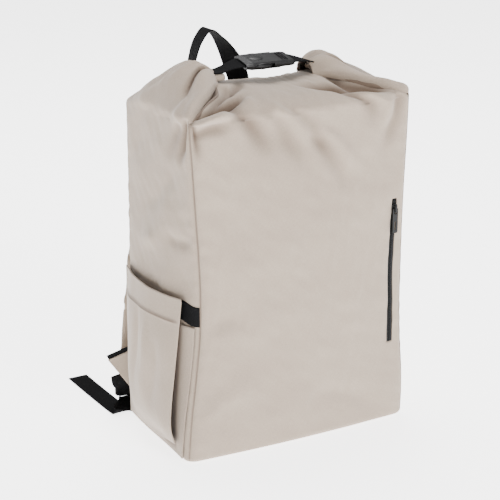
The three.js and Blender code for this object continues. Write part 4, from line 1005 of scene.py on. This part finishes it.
def panel_places(surface, u, v, half, creases, seed, outwards=1):
    """Places over a panel with its folds, dents and puckered seams, its cloth coordinates and its painted
    shade in folds, seams and tucks.
    """
    panel = bpy.context.scene.backpack_panels
    s = u * half
    straight = BASE_RADIUS + (SHOULDER_HEIGHT - BASE_RADIUS) * np.clip(v - 1, 0, 1)
    h = np.where(v < 1, BASE_RADIUS * v, straight) + EAR_CLOTH * np.clip(v - 2, 0, 1)
    from_seam = half * (1 - np.minimum(1, np.abs(u)))
    past_seam = np.abs(u) - 1
    body = smooth(v - 0.4)
    height = crease_height(creases, s, h)
    # Painted shade: darkens deep folds high on the bag, the tucks under the ears and a line along each seam
    painted_shade = np.clip(-height / PAINTED_SHADE_FOLD_DEPTH, 0, 1) * smooth((h - PAINTED_SHADE_FOLDS_FROM) / PAINTED_SHADE_FOLDS_FADE)
    painted_shade = np.maximum(painted_shade, smooth(past_seam / LIP * 2.2) * smooth((v - 2) / 0.25))
    painted_shade = np.maximum(painted_shade, SEAM_SHADE * body * smooth(1 - from_seam / SEAM_LINE) * (v < 2.1))
    dents = waves(s, h, seed, *DENT_LENGTHS)
    rumples = waves(s, h, seed + 1, *RUMPLE_LENGTHS)
    height = height + panel.unevenness * body * smooth(from_seam / DENT_EDGE) * dents
    height = height + RUMPLE_SHARE * panel.unevenness * body * rumples * smooth(from_seam / RUMPLE_EDGE)
    near = np.exp(-from_seam / PUCKER_REACH) * smooth(from_seam / PUCKER_EDGE)
    height = height + panel.pucker * near * body * pucker_along(h, seed)
    height = height - panel.seam_depth * body * np.exp(-((from_seam / SEAM_BREADTH) ** 2))
    height = height * (1 - smooth(past_seam / (0.5 * LIP)))
    normal = normals_of(surface, u, v)
    places = surface(u, v) + normal * height[..., None] * outwards
    return places, np.stack([s, h], axis=-1), painted_shade


def rows_up_the_bag():
    panel = bpy.context.scene.backpack_panels
    stretches = [
        np.linspace(0, 1, 5)[:-1],
        np.linspace(1, 2, panel.body_rows)[:-1],
        np.linspace(2, 3, panel.top_rows),
    ]
    return np.concatenate(stretches)


class PanelSettings(bpy.types.PropertyGroup):
    unevenness: bpy.props.FloatProperty(
        name="Unevenness", description="How far soft dents stand in or out", default=0.0011, unit="LENGTH"
    )
    pucker: bpy.props.FloatProperty(
        name="Pucker", description="How far the cloth puckers along its seams", default=0.0005, unit="LENGTH"
    )
    seam_depth: bpy.props.FloatProperty(
        name="Seam depth", description="How deep the cloth turns in at a seam", default=0.0011, unit="LENGTH"
    )
    body_rows: bpy.props.IntProperty(
        name="Body rows", description="Rows of faces from the base to the shoulder", default=150
    )
    top_rows: bpy.props.IntProperty(
        name="Top rows", description="Rows of faces from the shoulder to the rolled mouth", default=70
    )


def zip_slot_edges(v_rows):
    """Both edges of the zip's slot at each row, as u on the front panel."""
    z_rows = BASE_RADIUS + (SHOULDER_HEIGHT - BASE_RADIUS) * np.clip(v_rows - 1, 0, 1)
    level = level_at(np.clip(v_rows, 1, 2), FRONT_TOP)
    edges = []
    for side in (-1, 1):
        x = zip_centre(z_rows) + side * (ZIP_WIDTH / 2 + FIT_GAP)
        u = x / HALF_WIDTH
        for _ in range(4):
            u = (x - level.right * u**3) / HALF_WIDTH
        edges.append(u)
    return edges


def front_panel():
    v_rows = rows_up_the_bag()
    slot_rows = []
    for z in (ZIP_BOTTOM - FIT_GAP, ZIP_BOTTOM + ZIP_LENGTH + FIT_GAP):
        row = int(np.argmin(np.abs(v_rows - level_for(z))))
        v_rows[row] = level_for(z)
        slot_rows.append(row)
    edge = 1 + SEAM_OVERLAP / 2 / HALF_WIDTH
    marks = np.cumsum([0, *FRONT_COLUMNS])
    columns = np.arange(marks[-1] + 1)
    u = np.array([np.interp(columns, marks, [-edge, a, b, edge]) for a, b in zip(*zip_slot_edges(v_rows))])
    v = np.repeat(v_rows[:, None], len(columns), axis=1)
    places, cloth, painted_shade = panel_places(front_point, u, v, HALF_WIDTH, CREASES["front"], 11)

    def in_the_slot(row, number):
        return slot_rows[0] <= row < slot_rows[1] and marks[1] <= number < marks[2]

    mesh = grid_mesh("front_cloth", places, cloth, in_the_slot, from_the_middle(BAG_MIDDLE), painted_shade)
    piece = new_object("front_cloth", mesh)
    add_thickness(piece, CLOTH)
    dress(piece, "bag", "canvas", material("canvas"), "front_panel")


def plain_panel(row):
    v_rows = rows_up_the_bag()
    edge = 1 + SEAM_OVERLAP / 2 / row["half"]
    u = np.repeat(np.linspace(-edge, edge, row["columns"])[None], len(v_rows), axis=0)
    v = np.repeat(v_rows[:, None], row["columns"], axis=1)
    if row["lip"]:
        u = u * (1 + row["lip"] * smooth((v - 2) / 0.12))
    how = (row["half"], CREASES[row["creases"]], row["seed"], row["outwards"])
    places, cloth, painted_shade = panel_places(row["surface"], u, v, *how)
    mesh = grid_mesh(row["name"], places, cloth, None, from_the_middle(BAG_MIDDLE), painted_shade)
    piece = new_object(row["name"], mesh)
    add_thickness(piece, CLOTH)
    dress(piece, "bag", "canvas", material("canvas"), row["node"])


PLAIN_PANELS = (
    {
        "name": "back_cloth",
        "node": "back_panel",
        "surface": back_point,
        "half": HALF_WIDTH,
        "creases": "back",
        "seed": 23,
        "columns": 112,
        "lip": 0,
        "outwards": 1,
    },
    {
        "name": "left_cloth",
        "node": "left_side_panel",
        "surface": left_side,
        "half": HALF_DEPTH,
        "creases": "left",
        "seed": 31,
        "columns": 96,
        "lip": LIP,
        "outwards": 1,
    },
    {
        "name": "right_cloth",
        "node": "right_side_panel",
        "surface": right_side,
        "half": HALF_DEPTH,
        "creases": "right",
        "seed": 47,
        "columns": 96,
        "lip": LIP,
        "outwards": -1,
    },
)


def base_panel():
    u = np.linspace(-1, 1, 60)
    zero = np.zeros_like(u)
    front = front_point(u, zero)
    back = back_point(-u, zero)
    shares = np.linspace(0, 1, 36)[:, None, None]
    inner = np.array([1 - BASE_SIDE_INSET / HALF_WIDTH, 1 - BASE_END_INSET / HALF_DEPTH, 1])
    places = (front + (back - front) * shares) * inner
    rise = BASE_RIPPLE + BASE_RIPPLE * waves(places[..., 0], places[..., 1], 5, 0.02, 0.06)
    places[..., 2] = np.maximum(0.0, rise * BASE_FLATTENED)
    mesh = grid_mesh("base_cloth", places, places[..., :2].copy(), None, lambda place: (0, 0, -1))
    piece = new_object("base_cloth", mesh)
    add_thickness(piece, CLOTH)
    dress(piece, "bag", "canvas", material("canvas"), "base_panel")


class BACKPACK_OT_panels(bpy.types.Operator):
    """Model the canvas panels of the bag with their folds and seams"""

    bl_idname = "backpack.panels"
    bl_label = "Canvas panels"

    def execute(self, context):
        front_panel()
        for row in PLAIN_PANELS:
            plain_panel(row)
        base_panel()
        return {"FINISHED"}


# Rolled mouth
def roll_section(steps=9):
    """The flat spiral of the rolled cloth, as a closed outline."""
    half = (ROLL_WIDTH - ROLL_PITCH * 3) / 2
    centre = [(-half * 0.7, 0), (-half * 0.1, 0.0002), (half, 0)]

    def turn(x, start, end, side):
        middle, radius = (start + end) / 2, (end - start) / 2
        for angle in np.linspace(-math.pi / 2, math.pi / 2, steps)[1:-1]:
            centre.append((x + side * abs(radius) * math.cos(angle), middle + radius * math.sin(angle)))

    turn(half, 0, ROLL_PITCH, 1)
    centre.extend([(half, ROLL_PITCH), (0, ROLL_PITCH * 1.03), (-half, ROLL_PITCH)])
    turn(-half, ROLL_PITCH, -ROLL_PITCH, -1)
    centre.extend([(-half, -ROLL_PITCH), (0, -ROLL_PITCH), (half, -ROLL_PITCH)])
    line = np.array(centre)
    along = np.gradient(line, axis=0)
    along /= np.linalg.norm(along, axis=1, keepdims=True)
    normal = np.stack([-along[:, 1], along[:, 0]], axis=1) * CLOTH * ROLL_WALL
    return np.vstack([line + normal, (line - normal)[::-1]])


ROLL_THICKNESS = 2 * ROLL_PITCH + ROLL_LAYER
ROLL_LOW = SHOULDER_HEIGHT + RIDGE_RISE - CLOTH - FIT_GAP - ROLL_THICKNESS / 2
ROLL_HIGH = ROLL_LOW + 2 * ROLL_TURN_RADIUS


def roll_frames():
    def half(side, end):
        rows = [(x, ROLL_HIGH, math.pi) for x in np.linspace(end, ROLL_TURN_AT, 8)]
        for angle in np.linspace(0, math.pi, 16)[1:]:
            x = ROLL_TURN_AT + ROLL_TURN_RADIUS * math.sin(angle)
            rows.append((x, ROLL_LOW + ROLL_TURN_RADIUS * (1 + math.cos(angle)), math.pi - angle))
        rows.extend([(x, ROLL_LOW, 0) for x in np.linspace(ROLL_TURN_AT, 0, 14)[1:-1]])
        return [
            (
                np.array([side * x, ROLL_CENTRE_Y, z]),
                np.array([0.0, 1.0, 0.0]),
                np.array([-side * math.sin(angle), 0.0, math.cos(angle)]),
            )
            for x, z, angle in rows
        ]

    return half(-1, ROLL_END_LEFT) + half(1, ROLL_END_RIGHT)[::-1]


class BACKPACK_OT_roll(bpy.types.Operator):
    """Model the mouth of the bag, rolled flat and bent back on itself at both ends"""

    bl_idname = "backpack.roll"
    bl_label = "Rolled mouth"

    def execute(self, context):
        mesh = swept_mesh("rolled_mouth", roll_section(), roll_frames())
        dress(new_object("rolled_mouth", mesh), "bag", "canvas", material("canvas"), "mouth_roll")
        return {"FINISHED"}


# Side pocket
class BACKPACK_OT_pocket(bpy.types.Operator):
    """Model the side pocket with its hem, its front pleat and the black band at its mouth"""

    bl_idname = "backpack.pocket"
    bl_label = "Side pocket"

    def execute(self, context):
        v_line = np.linspace(0, 1, 110)
        u, v = np.meshgrid(np.linspace(-1, 1, 170), v_line)
        base = pocket_point(u, v)
        s = -base[..., 1]
        h = base[..., 2]
        t = (u + 1) / 2
        main = smooth((FOLD_AT - 0.02 - t) / 0.08) * smooth((u + 1) / 0.2)
        height = main * crease_height(CREASES["pocket"], s, h)
        height = height + POCKET_DENTS * main * smooth(v / 0.1) * waves(s, h, 61, *POCKET_DENT_LENGTHS)
        stitch_line = POCKET_HEIGHT - POCKET_HEM
        groove = -HEM_GROOVE * main * np.exp(-(((h - stitch_line) / HEM_GROOVE_BREADTH) ** 2))
        hem = HEM_RISE * main * smooth((h - stitch_line) / 0.002)
        normal = normals_of(pocket_point, u, v)
        places = base + normal * (height + groove + hem)[..., None] * -1
        across = lengths_along(base[len(v_line) // 2])
        cloth = np.stack([np.repeat(across[None], len(v_line), axis=0), h], axis=-1)
        # Painted shade inside the pleat behind its fold and along the hem's groove
        painted_shade = smooth((t - FOLD_AT - 0.004) / 0.03) * smooth((0.925 - t) / 0.035) * smooth(v / 0.08)
        painted_shade = np.maximum(painted_shade, np.clip(-groove / HEM_GROOVE, 0, 1))
        mesh = grid_mesh("pocket_cloth", places, cloth, painted_shade=painted_shade)
        piece = new_object("pocket_cloth", mesh)
        add_thickness(piece, POCKET_CLOTH, 0.0)
        dress(piece, "bag", "canvas", material("canvas"), "side_pocket")
        pocket_band()
        pocket_stitches()
        return {"FINISHED"}


def pocket_band():
    middle = POCKET_HEIGHT - POCKET_HEM / 2 - 0.001
    rows = []
    for share in np.linspace(BAND_START, BAND_END, 8):
        y = share * HALF_DEPTH
        drop = BAND_DROP * float(smooth((BAND_START - share) / 0.25))
        x = float(left_surface(np.array(y), np.array(middle))) - FIT_GAP - WEBBING / 2
        past = max(0.0, -y - (HALF_DEPTH - CORNER_RADIUS))
        x += CORNER_RADIUS - math.sqrt(CORNER_RADIUS**2 - past**2)
        rows.append((np.array([x, y, middle - drop]), np.array([0.0, 0.0, 1.0])))
    piece = webbing("hem_band", rows, 10, width=POCKET_HEM - 0.004, thickness=WEBBING - FIT_GAP)
    dress(piece, "bag", "webbing", material("webbing"), "pocket_band")


def pocket_stitches():
    """The hem's stitches, each a thin six-sided bead."""
    stitch_line = POCKET_HEIGHT - POCKET_HEM
    u = np.linspace(-0.93, 2 * FOLD_AT - 1 - 0.03, 120)
    v = np.full_like(u, (stitch_line - POCKET_BOTTOM) / (POCKET_HEIGHT - POCKET_BOTTOM))
    points = pocket_point(u, v)
    points[:, 0] -= POCKET_CLOTH / 2 - 0.0006
    run = lengths_along(points)
    stretched = Matrix.Diagonal((1, 1, STITCH_LENGTH / STITCH_RADIUS / 2, 1))
    bm = bmesh.new()
    start = STITCH_SPACE
    while start + STITCH_LENGTH < run[-1]:
        reach = (start, start + STITCH_LENGTH)
        first, last = (np.array([np.interp(r, run, points[:, k]) for k in range(3)]) for r in reach)
        turn = Vector(last - first).to_track_quat("Z", "Y").to_matrix().to_4x4()
        place = Matrix.Translation(Vector((first + last) / 2)) @ turn @ stretched
        bmesh.ops.create_uvsphere(bm, u_segments=6, v_segments=5, radius=STITCH_RADIUS, matrix=place)
        start += STITCH_LENGTH + STITCH_SPACE
    piece = new_object("hem_stitches", mesh_from(bm, "hem_stitches"))
    dress(piece, "bag", "canvas", material("thread"))


# Zip
class BACKPACK_OT_zip(bpy.types.Operator):
    """Model the zip's tape and teeth"""

    bl_idname = "backpack.zip"
    bl_label = "Zip"

    def execute(self, context):
        z = np.linspace(ZIP_BOTTOM, ZIP_BOTTOM + ZIP_LENGTH, 60)
        x = zip_centre(z)
        y = front_surface(x, z)
        rows = [(np.array([a, b + CLOTH * 0.7, c]), np.array([1.0, 0.0, 0.0])) for a, b, c in zip(x, y, z)]
        tape = swept_mesh("zip_band", webbing_outline(ZIP_WIDTH, CLOTH * 0.7), ribbon_frames(rows, 90))
        dress(new_object("zip_band", tape), "bag", "zip", material("zip"), "zip_tape")
        teeth = bmesh.new()
        shape = Matrix.Diagonal((TOOTH_HALF_WIDTH, TOOTH_HALF_DEPTH, ZIP_TOOTH * 0.3, 1))
        for k in range(int(ZIP_LENGTH / ZIP_TOOTH)):
            height = ZIP_BOTTOM + ZIP_TOOTH * (k + 0.5)
            across = float(zip_centre(np.array(height)))
            front = float(front_surface(np.array(across), np.array(height)))
            for side in (-1, 1):
                lean = Matrix.Rotation(side * math.radians(TOOTH_LEAN), 4, "Y")
                spot = (across + side * TOOTH_APART, front + TOOTH_PROUD, height + side * ZIP_TOOTH / 4)
                place = Matrix.Translation(spot) @ lean @ shape
                bmesh.ops.create_uvsphere(teeth, u_segments=8, v_segments=5, radius=1, matrix=place)
        piece = new_object("zip_teeth", mesh_from(teeth, "zip_teeth"))
        dress(piece, "bag", "zip", material("plastic"))
        return {"FINISHED"}


# Webbing on top
class BACKPACK_OT_closure(bpy.types.Operator):
    """Model the webbing from the ends of the roll to the buckle"""

    bl_idname = "backpack.closure"
    bl_label = "Closure straps"

    def execute(self, context):
        tilt = math.radians(BUCKLE_TILT)
        tilted_across = np.array([0.0, math.cos(tilt), math.sin(tilt)])
        flat = np.array([0.0, 1.0, 0.0])
        buckle_end = BUCKLE_LENGTH / 2 - BUCKLE_GRIP + STRAP_IN_BUCKLE
        bottom = ROLL_HIGH + ROLL_THICKNESS / 2 + FIT_GAP + WEBBING / 2
        top = BUCKLE_HEIGHT
        for side, name, roll_end in ((-1, "left", ROLL_END_LEFT), (1, "right", ROLL_END_RIGHT)):
            stations = [
                (roll_end + STRAP_SEWN, bottom, flat),
                (roll_end + 0.001, bottom, flat),
                (roll_end - STRAP_CLIMB, bottom + STRAP_CLIMB_SHARE * (top - bottom), flat),
                (buckle_end + BUCKLE_GRIP, top, tilted_across),
                (buckle_end, top, tilted_across),
            ]
            rows = [(np.array([side * x, ROLL_CENTRE_Y, z]), across) for x, z, across in stations]
            piece = webbing(f"closure_webbing_{name}", rows, 40)
            dress(piece, "bag", "webbing", material("webbing"), f"closure_strap_{name}")
        return {"FINISHED"}


class BACKPACK_OT_handle(bpy.types.Operator):
    """Model the twisted webbing loop that the bag is lifted by"""

    bl_idname = "backpack.handle"
    bl_label = "Grab handle"

    def execute(self, context):
        rows = []
        for row in HANDLE_PATH:
            x = HANDLE_CENTRE + row["x"] * HANDLE_SPAN
            z = SHOULDER_HEIGHT + row["lift"] * HANDLE_RISE
            y = float(back_surface(x, z)) + FIT_GAP + WEBBING / 2 + row["lean"] * HANDLE_LEAN
            rows.append((np.array([x, y, z]), level_way(row["turn"])))
        piece = webbing("grab_loop", rows, 110)
        dress(piece, "bag", "webbing", material("webbing"), "grab_handle")
        return {"FINISHED"}


# Shoulder straps and what holds their lower ends
def strap_point(row):
    x = -row["out"] * HALF_WIDTH
    z = STRAP_END + row["lift"] * (STRAP_TOP - STRAP_END)
    y = float(back_surface(x, z)) + FIT_GAP + STRAP_THICKNESS / 2 + row["lean"] * STRAP_LEAN
    return np.array([x, y, z])


def mirrored(mesh, name):
    copy = mesh.copy()
    copy.name = name
    copy.transform(Matrix.Diagonal((-1, 1, 1, 1)))
    copy.flip_normals()
    return copy


def pad_outline(width, thickness, count=28):
    """A flat pad's section: crowned, thin at its sewn edges."""
    points = []
    for k in range(count):
        angle = 2 * math.pi * k / count
        x, y = math.cos(angle), math.sin(angle)
        across = math.copysign(abs(x) ** 0.45, x) * width / 2
        points.append((across, math.copysign(abs(y) ** 0.6, y) * thickness / 2))
    return points


def inflate(piece, cap, frames=20, voxel=0.0045):
    """Swells a closed mesh with cloth under pressure, and caps how far each point moves."""
    remesh = piece.modifiers.new("voxels", "REMESH")
    remesh.mode = "VOXEL"
    remesh.voxel_size = voxel
    context = bpy.context
    context.view_layer.objects.active = piece
    bpy.ops.object.modifier_apply(modifier=remesh.name)
    start = np.empty(len(piece.data.vertices) * 3)
    piece.data.vertices.foreach_get("co", start)
    cloth = piece.modifiers.new("cloth", "CLOTH")
    cloth.settings.use_pressure = True
    cloth.settings.uniform_pressure_force = 4
    cloth.settings.quality = 5
    cloth.settings.effector_weights.gravity = 0
    for number in range(1, frames + 1):
        context.scene.frame_set(number)
    bpy.ops.object.modifier_apply(modifier=cloth.name)
    end = np.empty_like(start)
    piece.data.vertices.foreach_get("co", end)
    move = (end - start).reshape(-1, 3)
    far = np.linalg.norm(move, axis=1, keepdims=True)
    move *= np.minimum(1, cap / np.maximum(far, 1e-9))
    piece.data.vertices.foreach_set("co", (start.reshape(-1, 3) + move).ravel())
    context.scene.frame_set(1)


def cloth_from_places(mesh):
    """Cloth coordinates straight from the back: x across and z up, in metres."""
    layer = mesh.uv_layers.get("cloth") or mesh.uv_layers.new(name="cloth")
    index = np.empty(len(mesh.loops), int)
    mesh.loops.foreach_get("vertex_index", index)
    places = np.empty(len(mesh.vertices) * 3)
    mesh.vertices.foreach_get("co", places)
    places = places.reshape(-1, 3)[index]
    layer.data.foreach_set("uv", np.ascontiguousarray(places[:, [0, 2]]).ravel())


class BACKPACK_OT_straps(bpy.types.Operator):
    """Model the padded shoulder straps, swollen with a cloth simulation"""

    bl_idname = "backpack.straps"
    bl_label = "Shoulder straps"

    def execute(self, context):
        rows = [(strap_point(row), level_way(row["turn"])) for row in STRAP_PATH]
        steps = 90
        frames = ribbon_frames(rows, steps)
        widths = column(STRAP_PATH, "width", np.linspace(0, 1, steps))
        outline = pad_outline(STRAP_WIDTH * PAD_SPREAD, STRAP_THICKNESS * PAD_FLATTENED)
        mesh = swept_mesh("shoulder_pad_left", outline, frames, widths)
        left = new_object("shoulder_pad_left", mesh)
        inflate(left, PAD_SWELL)
        cloth_from_places(left.data)
        right = new_object("shoulder_pad_right", mirrored(left.data, "shoulder_pad_right"))
        for side, piece in (("left", left), ("right", right)):
            for face in piece.data.polygons:
                face.use_smooth = True
            relax = piece.modifiers.new("relax", "SMOOTH")
            relax.factor = 0.5
            relax.iterations = PAD_RELAXED
            subdivide = piece.modifiers.new("finer", "SUBSURF")
            subdivide.levels = 1
            subdivide.render_levels = 1
            dress(piece, "bag", "canvas", material("canvas"), f"shoulder_strap_{side}")
        return {"FINISHED"}


TAB_OUT = level_way(TAB_WAY)
TAB_NORMAL = np.cross(TAB_OUT, np.array([0.0, 0.0, 1.0]))
TAB_X = -HALF_WIDTH + TAB_INSET
TAB_Y = float(back_surface(TAB_X, TAB_BOTTOM + TAB_HEIGHT / 2)) + FIT_GAP + TAB_THICKNESS / 2
TAB_TIP = TAB_HEIGHT * 0.74
STRAP_FOOT = strap_point(STRAP_PATH[-1])
LOCK_X = STRAP_FOOT[0]
LOCK_Y = STRAP_FOOT[1] + LOCK_THICKNESS / 2
LOCK_TOP = STRAP_END - FIT_GAP
WEBBING_END = LOCK_TOP - LOCK_LENGTH - FIT_GAP
LOCK_FACE = LOCK_Y - LOCK_THICKNESS - 2.2 * FIT_GAP - WEBBING / 2


def by_the_tab(out, up, behind):
    return np.array([TAB_X, TAB_Y, TAB_BOTTOM + up]) + TAB_OUT * out + TAB_NORMAL * behind


def tab_mesh(name, corners, steps=14):
    """A soft flat piece in the tab's plane between four corners of (out, up)."""
    a, b, c, d = (np.array(corner) for corner in corners)
    share = np.linspace(0, 1, steps)
    p, q = np.meshgrid(share, share)
    spots = (
        (1 - p)[..., None] * (1 - q)[..., None] * a
        + p[..., None] * (1 - q)[..., None] * b
        + p[..., None] * q[..., None] * c
        + (1 - p)[..., None] * q[..., None] * d
    )
    places = np.array([[by_the_tab(out, up, 0.0) for out, up in row] for row in spots])
    bulge = 0.0006 * np.sin(math.pi * p) * np.sin(math.pi * q)
    places += TAB_NORMAL * bulge[..., None]
    return grid_mesh(name, places, spots.copy())


class BACKPACK_OT_anchors(bpy.types.Operator):
    """Model the bound triangles of cloth, the webbing on them and its free ends"""

    bl_idname = "backpack.anchors"
    bl_label = "Strap anchors"

    def execute(self, context):
        corners = [
            (0.0, 0.0),
            (TAB_REACH, TAB_TIP - 2 * FIT_GAP),
            (TAB_REACH * 0.98, TAB_TIP - FIT_GAP),
            (0.0, TAB_HEIGHT - FIT_GAP),
        ]
        tab = tab_mesh("corner_tab", corners)
        sideways = np.array([-1.0, 0.0, 0.0])
        bind_low = (by_the_tab(0, TAB_HEIGHT, 0) + by_the_tab(0, TAB_HEIGHT + BINDING_WIDTH, 0)) / 2
        outer_low = by_the_tab(TAB_REACH, TAB_TIP, 0)
        outer_high = by_the_tab(TAB_REACH + 0.001, TAB_TIP + BINDING_WIDTH, 0)
        bind_end = (outer_low + outer_high) / 2
        up = np.array([0.0, 0.0, 1.0])
        binding_rows = [(bind_low + (bind_end - bind_low) * share, up) for share in np.linspace(0, 1, 5)]
        outline = webbing_outline(BINDING_WIDTH, BINDING_THICKNESS * 0.85)
        binding = swept_mesh("tab_edge", outline, ribbon_frames(binding_rows, 14))
        behind = (TAB_THICKNESS + WEBBING) / 2 + FIT_GAP
        anchor_rows = [
            (by_the_tab(TAB_REACH * 0.57, TAB_HEIGHT * 0.42, behind), sideways),
            (by_the_tab(TAB_REACH * 0.54, TAB_HEIGHT * 0.27, 2 * behind), sideways),
            (np.array([LOCK_X - 0.003, LOCK_FACE - 0.0015, WEBBING_END + LOCK_LENGTH * 0.6]), sideways),
            (np.array([LOCK_X, LOCK_FACE, WEBBING_END + LOCK_LENGTH * 0.28]), sideways),
            (np.array([LOCK_X, LOCK_FACE, WEBBING_END]), sideways),
        ]
        outline = webbing_outline(WEBBING_WIDTH, WEBBING)
        anchor = swept_mesh("anchor_strip", outline, ribbon_frames(anchor_rows, 30))
        tail = swept_mesh("free_webbing", outline, tail_frames(sideways))
        rows = (
            (tab, "corner_tab", "canvas", "anchor_tab"),
            (binding, "tab_edge", "webbing", "tab_binding"),
            (anchor, "anchor_strip", "webbing", "anchor_webbing"),
            (tail, "free_webbing", "webbing", "webbing_tail"),
        )
        for mesh, name, slot, node_name in rows:
            other = mirrored(mesh, f"{name}_right")
            for side, made in (("left", mesh), ("right", other)):
                piece = new_object(f"{name}_{side}", made)
                if slot == "canvas":
                    add_thickness(piece, TAB_THICKNESS, 0.0)
                dress(piece, "bag", slot, material(slot), f"{node_name}_{side}")
        return {"FINISHED"}


def tail_frames(sideways):
    floor = WEBBING / 2
    rows = [
        np.array([LOCK_X, LOCK_FACE - FIT_GAP, WEBBING_END - FIT_GAP]),
        np.array([LOCK_X, LOCK_FACE - FIT_GAP, WEBBING_END - 0.004]),
    ]
    for row in TAIL_PATH:
        x = LOCK_X - row["out"] * TAIL_SWING
        y = LOCK_FACE - TAIL_FORWARD + row["along"] * TAIL_LENGTH
        rows.append(np.array([x, y, floor + row["layers"] * TAIL_LAYER]))
    frames = ribbon_frames([(row, sideways) for row in rows], 90)
    for at, across, up in frames:
        at[2] = max(at[2], abs(across[2]) * WEBBING_WIDTH / 2 + abs(up[2]) * floor)
    return frames


# Moulded fittings, which keep the frame's own meshes
def buckle_details():
    """Rounded release arms at the socket's sides, a raised oval on it and grip ribs on the plug."""
    tilt = Matrix.Rotation(math.radians(BUCKLE_TILT), 4, "X")
    middle = Matrix.Translation((0, ROLL_CENTRE_Y, BUCKLE_HEIGHT)) @ tilt
    half, face = BUCKLE_WIDTH / 2, BUCKLE_THICKNESS / 2
    arm = (ARM_LENGTH, 0.0034, face * 0.86)
    rows = [{"at": (ARM_AT, side * (half - 0.0012), 0), "size": arm} for side in (-1, 1)]
    rows.append({"at": (OVAL_AT, 0, face - 0.0001), "size": (0.0085, 0.0070, 0.0011)})
    for x in GRIP_RIBS_AT:
        rows.append({"at": (x, 0, face - 0.0002), "size": (0.0007, half * 0.72, 0.0009)})
    bm = bmesh.new()
    for row in rows:
        place = middle @ Matrix.Translation(row["at"]) @ Matrix.Diagonal((*row["size"], 1))
        bmesh.ops.create_uvsphere(bm, u_segments=24, v_segments=14, radius=1, matrix=place)
    piece = new_object("buckle_relief", mesh_from(bm, "buckle_relief"))
    dress(piece, "bag", "plastic", material("plastic"))


MOULDED = (
    "buckle_socket",
    "buckle_plug",
    "ladder_lock_left",
    "ladder_lock_right",
    "zip_slider",
    "zip_puller",
)


class BACKPACK_OT_fittings(bpy.types.Operator):
    """Finish the buckle, the adjusters, the slider and the puller as moulded plastic"""

    bl_idname = "backpack.fittings"
    bl_label = "Moulded fittings"

    def execute(self, context):
        for name in MOULDED:
            for place in bpy.data.objects[name].material_slots:
                place.link = "OBJECT"
                place.material = material("plastic")
        buckle_details()
        return {"FINISHED"}


# Floor, lights and camera
def floor_piece():
    bm = bmesh.new()
    bmesh.ops.create_grid(bm, x_segments=8, y_segments=8, size=FLOOR_REACH)
    bmesh.ops.translate(bm, verts=bm.verts, vec=(0, 0, -FLOOR_DROP))
    floor = new_object("floor", mesh_from(bm, "floor"))
    pale, _, shader = principled("floor", FLOOR_COLOR, 0.9)
    shader.inputs["Specular IOR Level"].default_value = 0.1
    shader.inputs["Emission Color"].default_value = (1, 1, 1, 1)
    shader.inputs["Emission Strength"].default_value = FLOOR_GLOW
    floor.data.materials.append(pale)


def soft_light(row):
    data = bpy.data.lights.new(row["name"], "AREA")
    data.shape = "RECTANGLE"
    data.size = row["size"]
    data.size_y = row["size"]
    data.energy = row["power"]
    light = bpy.data.objects.new(row["name"], data)
    light.location = row["place"]
    light.rotation_euler = (Vector(row["aim"]) - Vector(row["place"])).to_track_quat("-Z", "Y").to_euler()
    bpy.context.scene.collection.objects.link(light)


def photo_camera():
    data = bpy.data.cameras.new("photo_camera")
    data.sensor_width = SENSOR_WIDTH
    data.lens = PHOTO_FOCAL * SENSOR_WIDTH / PHOTO_SIZE
    camera = bpy.data.objects.new("photo_camera", data)
    azimuth, elevation = math.radians(CAMERA_AZIMUTH), math.radians(CAMERA_ELEVATION)
    level = math.cos(elevation)
    back = Vector((math.sin(azimuth) * level, -math.cos(azimuth) * level, math.sin(elevation)))
    camera.location = Vector(CAMERA_TARGET) + back * CAMERA_DISTANCE
    camera.rotation_euler = (-back).to_track_quat("-Z", "Y").to_euler()
    bpy.context.scene.collection.objects.link(camera)
    bpy.context.scene.camera = camera


class BACKPACK_OT_stage(bpy.types.Operator):
    """Set the floor, the soft lights and the photo's camera"""

    bl_idname = "backpack.stage"
    bl_label = "Floor, lights and camera"

    def execute(self, context):
        floor_piece()
        world = bpy.data.worlds.new("studio")
        world.use_nodes = True
        sky = world.node_tree.nodes["Background"]
        sky.inputs["Color"].default_value = (1.0, 1.0, 1.0, 1)
        sky.inputs["Strength"].default_value = SKY_STRENGTH
        context.scene.world = world
        for row in LIGHTS:
            soft_light(row)
        photo_camera()
        return {"FINISHED"}


class BACKPACK_PT_panel(bpy.types.Panel):
    """The pieces of the backpack, in the order that they are made"""

    bl_label = "Backpack"
    bl_idname = "BACKPACK_PT_panel"
    bl_space_type = "VIEW_3D"
    bl_region_type = "UI"
    bl_category = "Backpack"

    def draw(self, context):
        settings = context.scene.backpack_panels
        for name in ("unevenness", "pucker", "seam_depth", "body_rows", "top_rows"):
            self.layout.prop(settings, name)
        for step in STEPS:
            self.layout.operator(step.bl_idname)


STEPS = (
    BACKPACK_OT_stage,
    BACKPACK_OT_panels,
    BACKPACK_OT_roll,
    BACKPACK_OT_pocket,
    BACKPACK_OT_zip,
    BACKPACK_OT_closure,
    BACKPACK_OT_handle,
    BACKPACK_OT_straps,
    BACKPACK_OT_anchors,
    BACKPACK_OT_fittings,
)
CLASSES = (PanelSettings, *STEPS, BACKPACK_PT_panel)


def register():
    for made in CLASSES:
        bpy.utils.register_class(made)
    bpy.types.Scene.backpack_panels = bpy.props.PointerProperty(type=PanelSettings)


def unregister():
    del bpy.types.Scene.backpack_panels
    for made in reversed(CLASSES):
        bpy.utils.unregister_class(made)


def main():
    register()
    bpy.ops.backpack.stage()
    bpy.ops.backpack.panels()
    bpy.ops.backpack.roll()
    bpy.ops.backpack.pocket()
    bpy.ops.backpack.zip()
    bpy.ops.backpack.closure()
    bpy.ops.backpack.handle()
    bpy.ops.backpack.straps()
    bpy.ops.backpack.anchors()
    bpy.ops.backpack.fittings()
    bpy.context.view_layer.update()
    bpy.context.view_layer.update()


if __name__ == "__main__":
    main()
